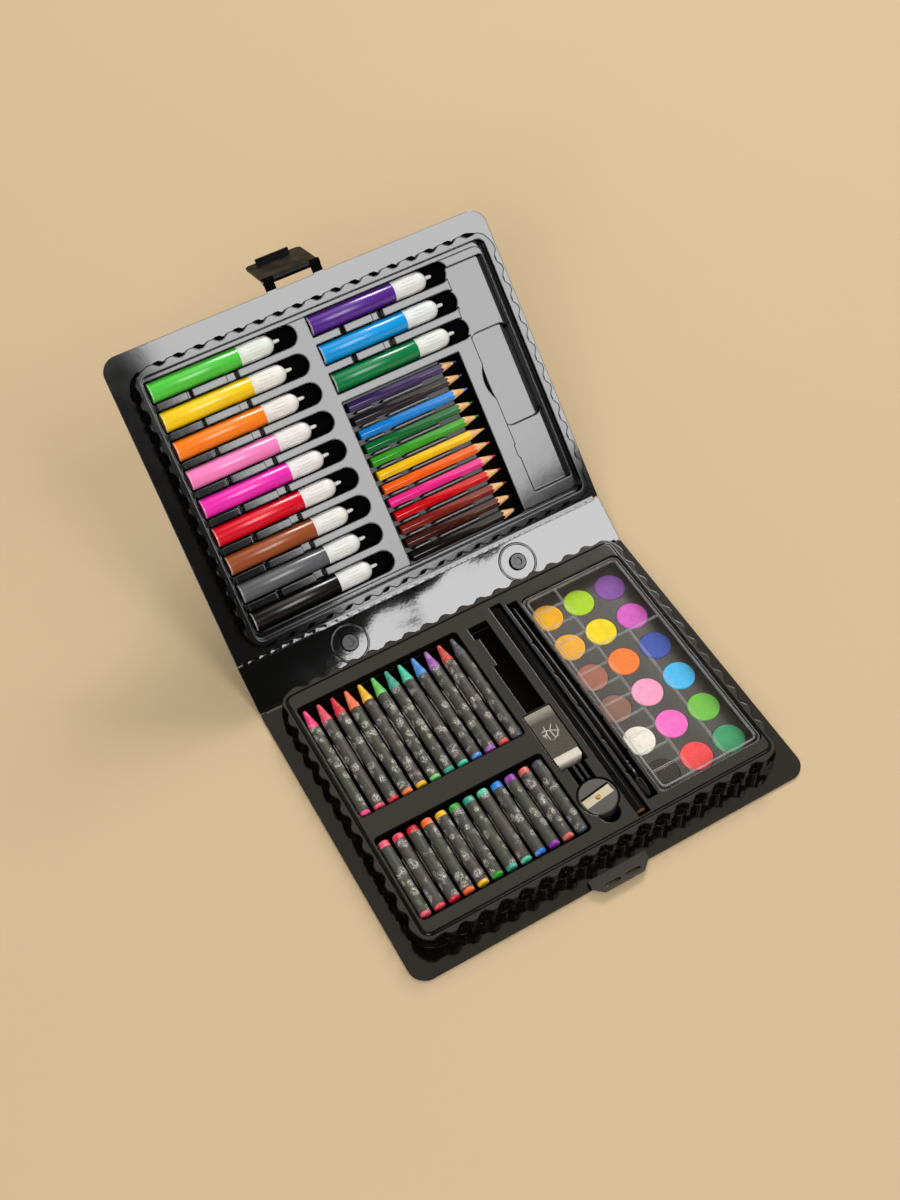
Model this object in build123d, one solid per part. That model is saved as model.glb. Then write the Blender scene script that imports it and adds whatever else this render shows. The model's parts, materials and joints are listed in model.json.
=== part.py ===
from build123d import *
import os
from math import cos, sin, radians, sqrt

# Colouring set in a book style carrying case, opened and lying on its base.
# Millimetres, Z up, X along the hinges, Y from the front edge towards the lid.
# The origin is the centre of the underside of the base board.

# case sheets
case_width = 300.0
board_depth = 230.4
sheet = 1.4
corner_radius = 12.0
spine_width = 37.0
hinge_gap = 0.7
spine_angle = 28.9
lid_angle = 43.25

# trays
base_height = 19.0
closing_gap = 1.6
tray_wall = 1.1
wave_pitch = 15.2
wave_amplitude = 1.4
tier_inset = 0.8
deck_inset = 4.4
deck_rise = 1.4
deck_round = 0.8
deck_line_inset = 0.9
deck_line_width = 0.6
deck_line_depth = 0.6
tray_corner = 11.0
stake_spacing = 2.7
stake_groove_width = 0.9
stake_groove_depth = 0.6
stake_groove_margin = 0.8
base_tray_width = 275.4
base_tray_depth = 213.6
base_tray_centre_y = -110.0
lid_tray_width = 278.4
lid_tray_depth = 208.6
lid_tray_centre_x = 2.5
lid_tray_centre_y = 110.4
lip_width = 3.6
groove_width = 3.6
groove_depth = 6.0
lid_deck_drop = 1.6

# general clearances
seat_gap = 0.25
side_gap = 0.7
top_gap = 0.2

# crayons and pastels in the base
stick_count = 12
crayon_pitch = 10.6
crayon_diameter = 8.2
crayon_length = 93.3
crayon_tip_length = 13.0
crayon_tip_diameter = 2.6
crayon_wrap_step = 0.25
crayon_bare_end = 2.6
crayon_rows_x = -66.5
crayon_centre_y = -69.2
crayon_end_gap = 2.2
stick_rib_gap = 0.4
stick_rib_length = 30.0
stick_rib_taper = 9.0
stick_rib_rise = 1.2
stick_pocket_corner = 3.2
pastel_diameter = 8.4
pastel_length = 59.0
pastel_centre_y = -168.4
pastel_end_gap = 3.6
pastel_bevel = 0.8

# tools between the sticks and the paints
eraser_width = 20.0
eraser_length = 44.0
eraser_height = 11.0
eraser_sleeve_length = 37.5
eraser_sleeve = 0.5
eraser_end_gap = 4.6
eraser_bevel = 0.8
eraser_x = 11.6
eraser_y = -128.6
sharpener_diameter = 27.0
sharpener_height = 11.0
sharpener_x = 12.6
sharpener_y = -183.1
sharpener_lobe_diameter = 15.0
sharpener_lobe_offset = 13.6
blade_length = 23.0
blade_width = 6.6
blade_thickness = 0.6
blade_turn = 8.0
blade_screw_diameter = 3.4
blade_throat_depth = 5.0
blade_throat_width = 1.5
sharpener_bevel = 0.8
pencil_bore_diameter = 8.0
neck_width = 13.0
neck_rib = 2.2
spare_slot_x = 12.4
spare_slot_width = 15.0
spare_slot_top_y = -23.5
spare_slot_step = 3.2
spare_slot_step_from = 11.0
spare_slot_step_length = 26.0
spare_slot_depth = 9.5

# long pencil and brush
long_pencil_across = 6.8
long_pencil_length = 188.0
long_pencil_x = 31.4
long_slot_width = 8.8
long_slot_gap = 3.0
long_slot_centre_y = -112.4
long_lead_diameter = 2.2
brush_x = 43.2
brush_length = 176.0
brush_handle_diameter = 6.2
brush_handle_tip = 2.8
brush_ferrule_diameter = 5.4
brush_ferrule_length = 18.0
brush_tuft_length = 14.0
brush_slot_width = 8.0
brush_ferrule_taper = 4.0
slot_notch_diameter = 5.0
slot_notch_reach = 0.9
slot_notch_pitch = 30.0
slot_notch_count = 5
brush_centre_y = -110.6

# paint box
paint_box_x = 90.5
paint_box_y = -111.8
paint_box_width = 80.4
paint_box_length = 180.4
paint_box_corner = 5.0
paint_recess_depth = 16.4
paint_floor = 1.6
paint_wall = 1.1
paint_wall_height = 13.6
cake_diameter = 22.4
cake_height = 2.8
well_plate = 2.2
well_gap = 0.25
cake_rows = 6
cake_pitch_x = 26.4
cake_pitch_y = 29.7
cakes_x = 89.6
cakes_y = -111.8
cover_sheet = 0.7
cover_rise = 2.0
cover_flange = 2.6
cover_rib = 1.2
cover_rib_height = 0.9

# lid contents
marker_diameter = 14.4
marker_bevel = 0.6
marker_barrel_length = 66.5
marker_cap_length = 26.5
marker_cap_end_diameter = 10.4
marker_cap_taper = 8.0
marker_cap_wall = 1.3
marker_nub_diameter = 3.4
marker_nub_length = 5.0
marker_neck_gap = 0.3
marker_neck_length = 9.0
marker_cone_length = 3.0
marker_tip_diameter = 4.0
marker_tip_length = 7.0
marker_pitch = 21.45
marker_left_x = -128.0
marker_right_x = -7.3
marker_top_y = 197.6
marker_left_count = 9
marker_right_count = 3
marker_pocket_past = 12.0
marker_pocket_side = 0.7
channel_narrow = 3.5
channel_wide = 8.5
channel_left_spots = (25.0, 57.0)
channel_right_spots = (21.0, 49.0)
channel_depth = 8.0
pencil_across = 6.8
pencil_length = 88.0
pencil_cone_length = 13.5
pencil_lead_diameter = 2.2
pencil_pitch = 10.5
pencil_left_x = -4.5
pencil_centre_y = 77.4
pencil_end_gap = 3.2
pencil_rest_below = 3.3
pencil_rib_gap = 0.5
pencil_rib_rise = 1.6
pencil_rib_short = (3.0, 19.0)
pencil_rib_long = (24.0, 60.0)
pencil_rib_point = 2.5
pencil_trench_length = 15.0
pencil_trench_depth = 4.6
recess_x = 115.6
recess_y = 112.0
recess_width = 31.0
recess_length = 173.6
recess_depth = 6.0
recess_corner = 2.0
deep_width = 29.8
deep_length = 71.6
deep_depth = 10.4
deep_corner = 6.0
thumb_length = 27.0
thumb_width = 4.0
thumb_scoop_radius = 30.0
thumb_inside = 1.2
slit_length = 9.5
slit_width = 1.1
slit_back = 51.0
slit_front = -54.0

# clasp and handle
clasp_width = 44.0
clasp_reach = 7.7
clasp_thickness = 1.6
clasp_pin_diameter = 2.2
clasp_pin_clearance = 0.08
clasp_knuckle_diameter = 5.0
clasp_knuckle_length = 28.0
clasp_knuckle_gap = 0.4
clasp_rest_angle = 155.0
clasp_window_width = 9.0
clasp_window_height = 3.2
clasp_corner = 4.0
catch_reach = 6.5
catch_low = 1.0
catch_thickness = 3.0
catch_root = 5.0
catch_front_width = 30.0
catch_window_length = 11.0
catch_window_width = 2.2
catch_window_spacing = 15.0
hook_reach = 2.4
hook_gap = 0.3
rivet_spacing = 140.0
rivet_head_diameter = 13.0
rivet_shank_diameter = 5.0
rivet_head_height = 2.2
rivet_dimple_diameter = 5.6
rivet_ring_diameter = 29.0
rivet_ring_width = 1.4
rivet_ring_height = 0.5
handle_width = 14.0
handle_end = 11.0
handle_thickness = 2.6
handle_bow = 2.2
handle_hole_clearance = 0.15

# derived heights and places
lid_rim_height = spine_width - base_height - closing_gap
lid_deck = lid_rim_height - lid_deck_drop
hinge_y = board_depth / 2
lid_hinge_y = hinge_y + spine_width * cos(radians(spine_angle))
lid_hinge_z = sheet + spine_width * sin(radians(spine_angle))
base_place = Pos(0, hinge_y, sheet)
spine_place = Pos(0, hinge_y, sheet) * Rot(spine_angle, 0, 0)
lid_place = Pos(0, lid_hinge_y, lid_hinge_z) * Rot(lid_angle, 0, 0)
crayon_z = base_height - top_gap - crayon_diameter / 2
pastel_z = base_height - top_gap - pastel_diameter / 2
crayon_floor = crayon_z - crayon_diameter / 2 - seat_gap
pastel_floor = pastel_z - pastel_diameter / 2 - seat_gap
marker_z = spine_width - base_height - top_gap * 2 - marker_diameter / 2
marker_floor = marker_z - marker_diameter / 2 - seat_gap
pencil_z = lid_deck - pencil_rest_below
pencil_floor = pencil_z - pencil_across / 2 - seat_gap
long_pencil_z = base_height - top_gap - long_pencil_across / 2
long_floor = long_pencil_z - long_pencil_across / 2 - seat_gap
brush_z = long_floor + seat_gap + brush_handle_diameter / 2
eraser_floor = base_height - top_gap - eraser_height - seat_gap
sharpener_floor = base_height - top_gap - sharpener_height - seat_gap
paint_recess_floor = base_height - paint_recess_depth
paint_base_z = paint_recess_floor + seat_gap
cake_z = paint_base_z + paint_floor
paint_rim_z = paint_base_z + paint_wall_height


def block(x0, x1, y0, y1, z0, z1):
    return Pos((x0 + x1) / 2, (y0 + y1) / 2, (z0 + z1) / 2) * Box(x1 - x0, y1 - y0, z1 - z0)


def lens(x0, x1, y0, y1, taper, z0, z1, along_x):
    # a long raised island with pointed ends
    if along_x:
        middle = (y0 + y1) / 2
        points = [(x0, middle), (x0 + taper, y0), (x1 - taper, y0),
                  (x1, middle), (x1 - taper, y1), (x0 + taper, y1)]
    else:
        middle = (x0 + x1) / 2
        points = [(middle, y0), (x1, y0 + taper), (x1, y1 - taper),
                  (middle, y1), (x0, y1 - taper), (x0, y0 + taper)]
    return Pos(0, 0, z0) * extrude(make_face(Polyline(*points, close=True)), z1 - z0)


def rounded_block(cx, cy, w, d, r, z0, z1):
    return Pos(cx, cy, z0) * extrude(RectangleRounded(w, d, r), z1 - z0)


def disc(cx, cy, diameter, z0, z1):
    return Pos(cx, cy, (z0 + z1) / 2) * Cylinder(diameter / 2, z1 - z0)


def side_waves(length, depth_sign, lengthwise, cx, cy, half, phase):
    # one side of a scalloped outline, flats pushed out and in by turns, then its rounded corner
    count = max(2, round(length / wave_pitch))
    step = length / count
    points = []
    for k in range(count):
        for share, out in ((0.14, 1), (0.36, 1), (0.64, -1), (0.86, -1)):
            along = -length / 2 + (k + share) * step
            reach = half + wave_amplitude * out * phase
            if lengthwise:
                points.append((cx - depth_sign * along, cy + depth_sign * reach))
            else:
                points.append((cx + depth_sign * reach, cy + depth_sign * along))
    return points


def corner_points(x, y, start):
    return [(x + tray_corner * cos(radians(start + turn)), y + tray_corner * sin(radians(start + turn)))
            for turn in (18, 45, 72)]


def scalloped(cx, cy, w, d, phase, z0, z1):
    # a tray tier whose four sides run in waves between rounded corners
    along_x = w - 2 * tray_corner
    along_y = d - 2 * tray_corner
    right, left = cx + along_x / 2, cx - along_x / 2
    back, front = cy + along_y / 2, cy - along_y / 2
    points = side_waves(along_y, 1, False, cx, cy, w / 2, phase)
    points += corner_points(right, back, 0)
    points += side_waves(along_x, 1, True, cx, cy, d / 2, phase)
    points += corner_points(left, back, 90)
    points += side_waves(along_y, -1, False, cx, cy, w / 2, phase)
    points += corner_points(left, front, 180)
    points += side_waves(along_x, -1, True, cx, cy, d / 2, phase)
    points += corner_points(right, front, 270)
    return Pos(0, 0, z0) * extrude(make_face(Polyline(*points, close=True)), z1 - z0)


def wave_centres(length):
    # where the lower tier stands out and the upper tier lies in
    count = max(2, round(length / wave_pitch))
    return [-length / 2 + (k + 0.25) * length / count for k in range(count)]


def stake_grooves(cx, cy, w, d, phase, z0, z1):
    # a pair of upright grooves at each crossing of the weave, on the four sides of one tier
    low = z0 + stake_groove_margin
    high = z1 - stake_groove_margin
    g = stake_groove_width / 2
    deep = stake_groove_depth
    grooves = []
    for sign in (-1, 1):
        face_x = cx + sign * (w / 2 + wave_amplitude * phase)
        face_y = cy + sign * (d / 2 + wave_amplitude * phase)
        for side in (-1, 1):
            for along in wave_centres(d - 2 * tray_corner):
                y = cy + sign * along + side * stake_spacing / 2
                grooves.append(block(face_x - deep, face_x + deep, y - g, y + g, low, high))
            for along in wave_centres(w - 2 * tray_corner):
                x = cx - sign * along + side * stake_spacing / 2
                grooves.append(block(x - g, x + g, face_y - deep, face_y + deep, low, high))
    return grooves


def basket_body(cx, cy, w, d, height, rise):
    # two tiers of waves in opposite step, as in a woven side wall
    shoulder = height - rise
    middle = shoulder / 2
    upper_w = w - 2 * tier_inset
    upper_d = d - 2 * tier_inset
    lower = scalloped(cx, cy, w, d, 1, 0, middle) - stake_grooves(cx, cy, w, d, 1, 0, middle)
    upper = scalloped(cx, cy, upper_w, upper_d, -1, middle, shoulder)
    upper -= stake_grooves(cx, cy, upper_w, upper_d, -1, middle, shoulder)
    return lower + upper


def hollow_below(cx, cy, w, d, height, rise, keep):
    # the open underside of a tray, clear of the pocket walls in keep
    inset = wave_amplitude + tier_inset + tray_wall
    low = rounded_block(cx, cy, w - 2 * inset, d - 2 * inset, tray_corner - inset, -1,
                        height - rise - tray_wall)
    deck = deck_inset + tray_wall
    high = rounded_block(cx, cy, w - 2 * deck, d - 2 * deck, tray_corner - deck, -1, height - tray_wall)
    return (low + high) - keep


def around(x0, x1, y0, y1, floor, top):
    return block(x0 - tray_wall, x1 + tray_wall, y0 - tray_wall, y1 + tray_wall, floor - tray_wall, top + 1)


def stick_pocket(cx, cy, pitch, diameter, length, end_gap):
    w = pitch * (stick_count - 1) + diameter + 2 * side_gap
    d = length + 2 * end_gap
    return cx - w / 2, cx + w / 2, cy - d / 2, cy + d / 2


def stick_hollow(bounds, floor, top):
    x0, x1, y0, y1 = bounds
    return rounded_block((x0 + x1) / 2, (y0 + y1) / 2, x1 - x0, y1 - y0, stick_pocket_corner, floor, top)


def stick_xs(cx, pitch):
    return [cx + pitch * (k - (stick_count - 1) / 2) for k in range(stick_count)]


def group(place, piece, spots):
    # equal pieces, each a solid of its own
    return Compound([(place * spot * piece).solids()[0] for spot in spots])


def turned(profile):
    # a turned piece that lies along Y, from a profile of radius against length
    face = make_face(Polyline(*profile, close=True))
    return revolve(face, Axis.Y)


def board(depth_from, depth_to, rounded_at):
    # a flat case sheet with its two free corners rounded
    plate = block(-case_width / 2, case_width / 2, depth_from, depth_to, -sheet, 0)
    edges = plate.edges().filter_by(Axis.Z).group_by(Axis.Y)[rounded_at]
    return fillet(edges, corner_radius)


def make_base_board():
    return base_place * board(-board_depth, -hinge_gap / 2, 0)


def make_base_tray():
    cx, cy = 0, base_tray_centre_y
    w, d = base_tray_width, base_tray_depth
    body = basket_body(cx, cy, w, d, base_height, deck_rise)
    deck = rounded_block(cx, cy, w - 2 * deck_inset, d - 2 * deck_inset, tray_corner - deck_inset,
                         base_height - deck_rise - tray_wall, base_height)
    deck = chamfer(deck.faces().sort_by(Axis.Z)[-1].edges(), deck_round)
    body += deck
    top = base_height + 1
    line_w = w - 2 * (deck_inset + deck_line_inset)
    line_d = d - 2 * (deck_inset + deck_line_inset)
    line_r = tray_corner - deck_inset - deck_line_inset
    line = rounded_block(cx, cy, line_w, line_d, line_r, base_height - deck_line_depth, top)
    line -= rounded_block(cx, cy, line_w - 2 * deck_line_width, line_d - 2 * deck_line_width,
                          line_r - deck_line_width, base_height - 2 * deck_line_depth, top + 1)
    body -= line
    crayon = stick_pocket(crayon_rows_x, crayon_centre_y, crayon_pitch, crayon_diameter, crayon_length,
                          crayon_end_gap)
    pastel = stick_pocket(crayon_rows_x, pastel_centre_y, crayon_pitch, pastel_diameter, pastel_length,
                          pastel_end_gap)
    pockets = [stick_hollow(crayon, crayon_floor, top), stick_hollow(pastel, pastel_floor, top)]
    keep = [around(*crayon, crayon_floor, top), around(*pastel, pastel_floor, top)]

    paint = (paint_box_x - paint_box_width / 2 - side_gap, paint_box_x + paint_box_width / 2 + side_gap,
             paint_box_y - paint_box_length / 2 - side_gap, paint_box_y + paint_box_length / 2 + side_gap)
    pockets.append(rounded_block(paint_box_x, paint_box_y, paint_box_width + 2 * side_gap,
                                 paint_box_length + 2 * side_gap, paint_box_corner, paint_recess_floor, top))
    keep.append(around(*paint, paint_recess_floor, top))

    half = (long_pencil_length + 2 * long_slot_gap) / 2
    long_slot = (long_pencil_x - long_pencil_across / 2 - side_gap,
                 long_pencil_x - long_pencil_across / 2 - side_gap + long_slot_width,
                 long_slot_centre_y - half, long_slot_centre_y + half)
    pockets.append(block(*long_slot, long_floor, top))
    half = (brush_length + 2 * long_slot_gap) / 2
    brush_slot = (brush_x - brush_slot_width / 2, brush_x + brush_slot_width / 2,
                  brush_centre_y - half, brush_centre_y + half)
    brush_hollow = block(*brush_slot, long_floor, top)
    for k in range(slot_notch_count):
        notch_y = brush_centre_y + slot_notch_pitch * (k - (slot_notch_count - 1) / 2)
        for side in (-1, 1):
            notch_x = brush_x + side * (brush_slot_width / 2 - slot_notch_diameter / 2 + slot_notch_reach)
            brush_hollow += disc(notch_x, notch_y + side * slot_notch_pitch / 4, slot_notch_diameter,
                                 long_floor, top)
    pockets.append(brush_hollow)
    keep.append(around(long_slot[0], brush_slot[1], long_slot[2], long_slot[3], long_floor, top))

    eraser = (eraser_x - eraser_width / 2 - side_gap, eraser_x + eraser_width / 2 + side_gap,
              eraser_y - eraser_length / 2 - eraser_end_gap, eraser_y + eraser_length / 2 + side_gap)
    pockets.append(block(*eraser, eraser_floor, top))
    spare = (spare_slot_x - spare_slot_width / 2, spare_slot_x + spare_slot_width / 2,
             eraser[3] + tray_wall, spare_slot_top_y)
    spare_floor = base_height - spare_slot_depth
    slot = block(*spare, spare_floor, top)
    step_back = spare_slot_top_y - spare_slot_step_from
    slot -= block(spare[0] - 1, spare[0] + spare_slot_step, step_back - spare_slot_step_length, step_back,
                  spare_floor - 1, top + 1)
    pockets.append(slot)
    sharpener_hole = disc(sharpener_x, sharpener_y, sharpener_diameter + 2 * side_gap, sharpener_floor, top)
    lobe = disc(sharpener_x, sharpener_y - sharpener_lobe_offset, sharpener_lobe_diameter, sharpener_floor,
                top)
    neck = block(sharpener_x - neck_width / 2, sharpener_x + neck_width / 2, sharpener_y, eraser[2],
                 sharpener_floor, top)
    pocket = sharpener_hole + lobe + neck
    rib_from = sharpener_y + sharpener_diameter / 2 + side_gap
    for side in (-1, 1):
        rib_x = sharpener_x + side * neck_width / 6
        pocket -= block(rib_x - neck_rib / 2, rib_x + neck_rib / 2, rib_from, eraser[2] + 1,
                        sharpener_floor - 1, top + 1)
    pockets.append(pocket)
    half = sharpener_diameter / 2 + side_gap
    keep.append(around(min(eraser[0], sharpener_x - half), max(eraser[1], sharpener_x + half),
                       sharpener_y - sharpener_lobe_offset - sharpener_lobe_diameter / 2, spare[3],
                       min(eraser_floor, sharpener_floor, spare_floor), top))

    tray = body - pockets
    tray -= hollow_below(cx, cy, w, d, base_height, deck_rise, keep)
    ribs = []
    xs = stick_xs(crayon_rows_x, crayon_pitch)
    for bounds, diameter, floor, centre_z in ((crayon, crayon_diameter, crayon_floor, crayon_z),
                                              (pastel, pastel_diameter, pastel_floor, pastel_z)):
        half_width = (crayon_pitch - diameter) / 2 - stick_rib_gap
        middle_y = (bounds[2] + bounds[3]) / 2
        for left, right in zip(xs[:-1], xs[1:]):
            middle = (left + right) / 2
            ribs.append(lens(middle - half_width, middle + half_width, middle_y - stick_rib_length / 2,
                             middle_y + stick_rib_length / 2, stick_rib_taper, floor - tray_wall / 2,
                             centre_z + stick_rib_rise, False))
    tray += ribs
    return base_place * tray


def make_crayons():
    r = crayon_diameter / 2
    bare = r - crayon_wrap_step
    end = crayon_length
    profile = [(0, 0), (bare, 0), (bare, crayon_bare_end), (r, crayon_bare_end),
               (r, end - crayon_tip_length - crayon_bare_end), (bare, end - crayon_tip_length - crayon_bare_end),
               (bare, end - crayon_tip_length), (crayon_tip_diameter / 2, end), (0, end)]
    crayon = turned(profile)
    y = crayon_centre_y - crayon_length / 2
    places = [Pos(x, y, crayon_z) for x in stick_xs(crayon_rows_x, crayon_pitch)]
    return group(base_place, crayon, places)


def make_pastels():
    r = pastel_diameter / 2
    b = pastel_bevel
    profile = [(0, 0), (r - b, 0), (r, b), (r, pastel_length - b), (r - b, pastel_length), (0, pastel_length)]
    pastel = turned(profile)
    y = pastel_centre_y - pastel_length / 2
    places = [Pos(x, y, pastel_z) for x in stick_xs(crayon_rows_x, crayon_pitch)]
    return group(base_place, pastel, places)


def make_paint_tray():
    z = paint_base_z
    tray = rounded_block(paint_box_x, paint_box_y, paint_box_width, paint_box_length, paint_box_corner,
                         z, z + paint_wall_height)
    inner = rounded_block(paint_box_x, paint_box_y, paint_box_width - 2 * paint_wall,
                          paint_box_length - 2 * paint_wall, paint_box_corner - paint_wall,
                          cake_z + well_plate, z + paint_wall_height + 1)
    wells = [disc(x, y, cake_diameter + 2 * well_gap, cake_z, cake_z + well_plate + 1)
             for column in (-1, 0, 1) for x, y in cake_spots(column)]
    return base_place * (tray - [inner] - wells)


def cake_spots(column):
    x = cakes_x + column * cake_pitch_x
    return [(x, cakes_y + ((cake_rows - 1) / 2 - row) * cake_pitch_y) for row in range(cake_rows)]


def make_cakes(column):
    cake = Pos(0, 0, cake_z + cake_height / 2) * Cylinder(cake_diameter / 2, cake_height)
    return group(base_place, cake, [Pos(x, y, 0) for x, y in cake_spots(column)])


def make_paint_cover():
    # clear formed cover that stands on the wall of the paint tray
    low = paint_rim_z + seat_gap
    w, d, r = paint_box_width, paint_box_length, paint_box_corner
    raised_w = w - 2 * cover_flange
    raised_d = d - 2 * cover_flange
    cover = rounded_block(paint_box_x, paint_box_y, w, d, r, low, low + cover_sheet)
    cover += rounded_block(paint_box_x, paint_box_y, raised_w, raised_d, r - cover_flange / 2, low,
                           low + cover_rise)
    cover -= rounded_block(paint_box_x, paint_box_y, raised_w - 2 * cover_sheet, raised_d - 2 * cover_sheet,
                           r - cover_flange / 2 - cover_sheet, low - 1, low + cover_rise - cover_sheet)
    rib_top = low + cover_rise - cover_sheet / 2
    rib_low = rib_top - cover_rib_height - cover_sheet / 2
    left = paint_box_x - raised_w / 2 + cover_sheet
    right = paint_box_x + raised_w / 2 - cover_sheet
    seam = cakes_x - cake_pitch_x / 2
    front = paint_box_y - raised_d / 2 + cover_sheet
    back = paint_box_y + raised_d / 2 - cover_sheet
    ribs = [block(seam - cover_rib / 2, seam + cover_rib / 2, front - 0.5, back + 0.5, rib_low, rib_top)]
    for k in range(2 * cake_rows - 1):
        y = cakes_y + ((cake_rows - 1) / 2 - k / 2) * cake_pitch_y
        ribs.append(block(left - 0.5, seam, y - cover_rib / 2, y + cover_rib / 2, rib_low, rib_top))
    seam = cakes_x + cake_pitch_x / 2
    step_y = cakes_y + ((cake_rows - 1) / 2 - 1.5) * cake_pitch_y
    ribs.append(block(seam - cover_rib / 2, seam + cover_rib / 2, front - 0.5, step_y, rib_low, rib_top))
    ribs.append(block(cakes_x - cake_pitch_x / 2, right + 0.5, step_y - cover_rib / 2, step_y + cover_rib / 2,
                      rib_low, rib_top))
    return base_place * (cover + ribs)


def hex_bar(across, length, axis_y):
    # a six sided bar along Y with a flat underneath, or along X
    profile = RegularPolygon(across / 2, 6, major_radius=False, rotation=0)
    bar = extrude(profile, length)
    if axis_y:
        return Rot(-90, 0, 0) * bar
    return Rot(0, 90, 0) * Rot(0, 0, 90) * bar


def make_long_pencil():
    wood = hex_bar(long_pencil_across, long_pencil_length, True)
    lead = Rot(-90, 0, 0) * extrude(Circle(long_lead_diameter / 2), long_pencil_length)
    place = base_place * Pos(long_pencil_x, long_slot_centre_y - long_pencil_length / 2, long_pencil_z)
    return place * (wood - lead), place * lead


def make_brush():
    handle_length = brush_length - brush_ferrule_length - brush_tuft_length
    start = brush_tuft_length + brush_ferrule_length
    neck = brush_ferrule_diameter / 2 - 0.3
    r = brush_handle_diameter / 2
    profile = [(0, start), (neck, start), (r, start + handle_length * 0.22), (r * 0.8, start + handle_length * 0.6),
               (brush_handle_tip / 2, brush_length), (0, brush_length)]
    handle = turned(profile)
    f = brush_ferrule_diameter / 2
    profile = [(0, brush_tuft_length), (f * 0.86, brush_tuft_length), (f, brush_tuft_length + brush_ferrule_taper),
               (f, start), (0, start)]
    ferrule = turned(profile)
    profile = [(0, 0), (0.5, 0), (f * 0.8, brush_tuft_length * 0.6), (f * 0.74, brush_tuft_length),
               (0, brush_tuft_length)]
    tuft = turned(profile)
    place = base_place * Pos(brush_x, brush_centre_y - brush_length / 2, brush_z)
    return place * handle, place * ferrule, place * tuft


def make_eraser():
    low = eraser_floor + seat_gap
    high = low + eraser_height
    block_w = eraser_width - 2 * eraser_sleeve
    far = eraser_y + eraser_length / 2
    near = eraser_y - eraser_length / 2
    rubber = block(eraser_x - block_w / 2, eraser_x + block_w / 2, near, far, low + eraser_sleeve, high - eraser_sleeve)
    rubber = chamfer(rubber.faces().sort_by(Axis.Y)[0].edges(), eraser_bevel)
    sleeve = block(eraser_x - eraser_width / 2, eraser_x + eraser_width / 2, far - eraser_sleeve_length, far, low, high)
    sleeve -= block(eraser_x - block_w / 2, eraser_x + block_w / 2, near - 1, far + 1, low + eraser_sleeve,
                    high - eraser_sleeve)
    return base_place * rubber, base_place * sleeve


def make_sharpener():
    low = sharpener_floor + seat_gap
    high = low + sharpener_height
    body = disc(0, 0, sharpener_diameter, 0, sharpener_height)
    body = chamfer(body.faces().sort_by(Axis.Z)[-1].edges(), sharpener_bevel)
    seat = block(-blade_length / 2, blade_length / 2, -blade_width / 2, blade_width / 2,
                 sharpener_height - 2 * blade_thickness, sharpener_height + 1)
    throat = blade_width / 2 - 0.1
    slot = block(-blade_length / 2, blade_length / 2, throat, throat + blade_throat_width,
                 sharpener_height - blade_throat_depth, sharpener_height + 1)
    cone = Pos(0, blade_width / 2 + 0.6, sharpener_height * 0.5) * Rot(0, 90, 0) * Cone(
        pencil_bore_diameter / 2, pencil_bore_diameter / 8, sharpener_diameter - 3)
    cone = Pos(-2, -2.5, 0) * cone
    body -= [seat, slot, cone]
    blade_low = sharpener_height - 2 * blade_thickness
    blade = block(-blade_length / 2 + 0.2, blade_length / 2 - 0.2, -blade_width / 2 + 0.2, blade_width / 2,
                  blade_low, blade_low + blade_thickness)
    hole = disc(0, 0, blade_screw_diameter - 1.2, blade_low - 3, blade_low + 3)
    blade -= hole
    body -= disc(0, 0, blade_screw_diameter - 1.2, blade_low - 2.5, blade_low + 1)
    screw = disc(0, 0, blade_screw_diameter, blade_low + blade_thickness, blade_low + blade_thickness + 0.7)
    screw += disc(0, 0, blade_screw_diameter - 1.2, blade_low - 2.5, blade_low + blade_thickness)
    screw -= block(-2, 2, -0.3, 0.3, blade_low + blade_thickness + 0.3, blade_low + 3)
    place = base_place * Pos(sharpener_x, sharpener_y, low) * Rot(0, 0, blade_turn)
    return place * body, place * blade, place * screw


def make_catch():
    # moulded lip on the front edge of the base board
    edge = -board_depth
    w = clasp_width / 2
    f = catch_front_width / 2
    top = catch_low + catch_thickness
    root = block(-w, w, edge, edge + catch_root, 0, top)
    nose = Polyline((-w, edge), (-f, edge - catch_reach), (f, edge - catch_reach), (w, edge), close=True)
    lip = Pos(0, 0, catch_low) * extrude(make_face(nose), catch_thickness)
    window_y = edge - catch_reach / 2
    for side in (-1, 1):
        lip -= rounded_block(side * catch_window_spacing / 2, window_y, catch_window_length, catch_window_width,
                             catch_window_width / 2 - 0.1, catch_low - 1, top + 1)
    return base_place * (root + lip)


def make_spine():
    panel = block(-case_width / 2, case_width / 2, hinge_gap / 2, spine_width - hinge_gap / 2, -sheet, 0)
    for side in (-1, 1):
        x = side * rivet_spacing / 2
        ring = disc(x, spine_width / 2, rivet_ring_diameter, -sheet / 2, rivet_ring_height)
        ring -= disc(x, spine_width / 2, rivet_ring_diameter - 2 * rivet_ring_width, -sheet, sheet)
        panel += chamfer(ring.faces().sort_by(Axis.Z)[-1].edges(), rivet_ring_height * 0.7)
        panel -= disc(x, spine_width / 2, rivet_shank_diameter + 2 * handle_hole_clearance, -sheet - 1, 1)
    return spine_place * panel


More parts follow.
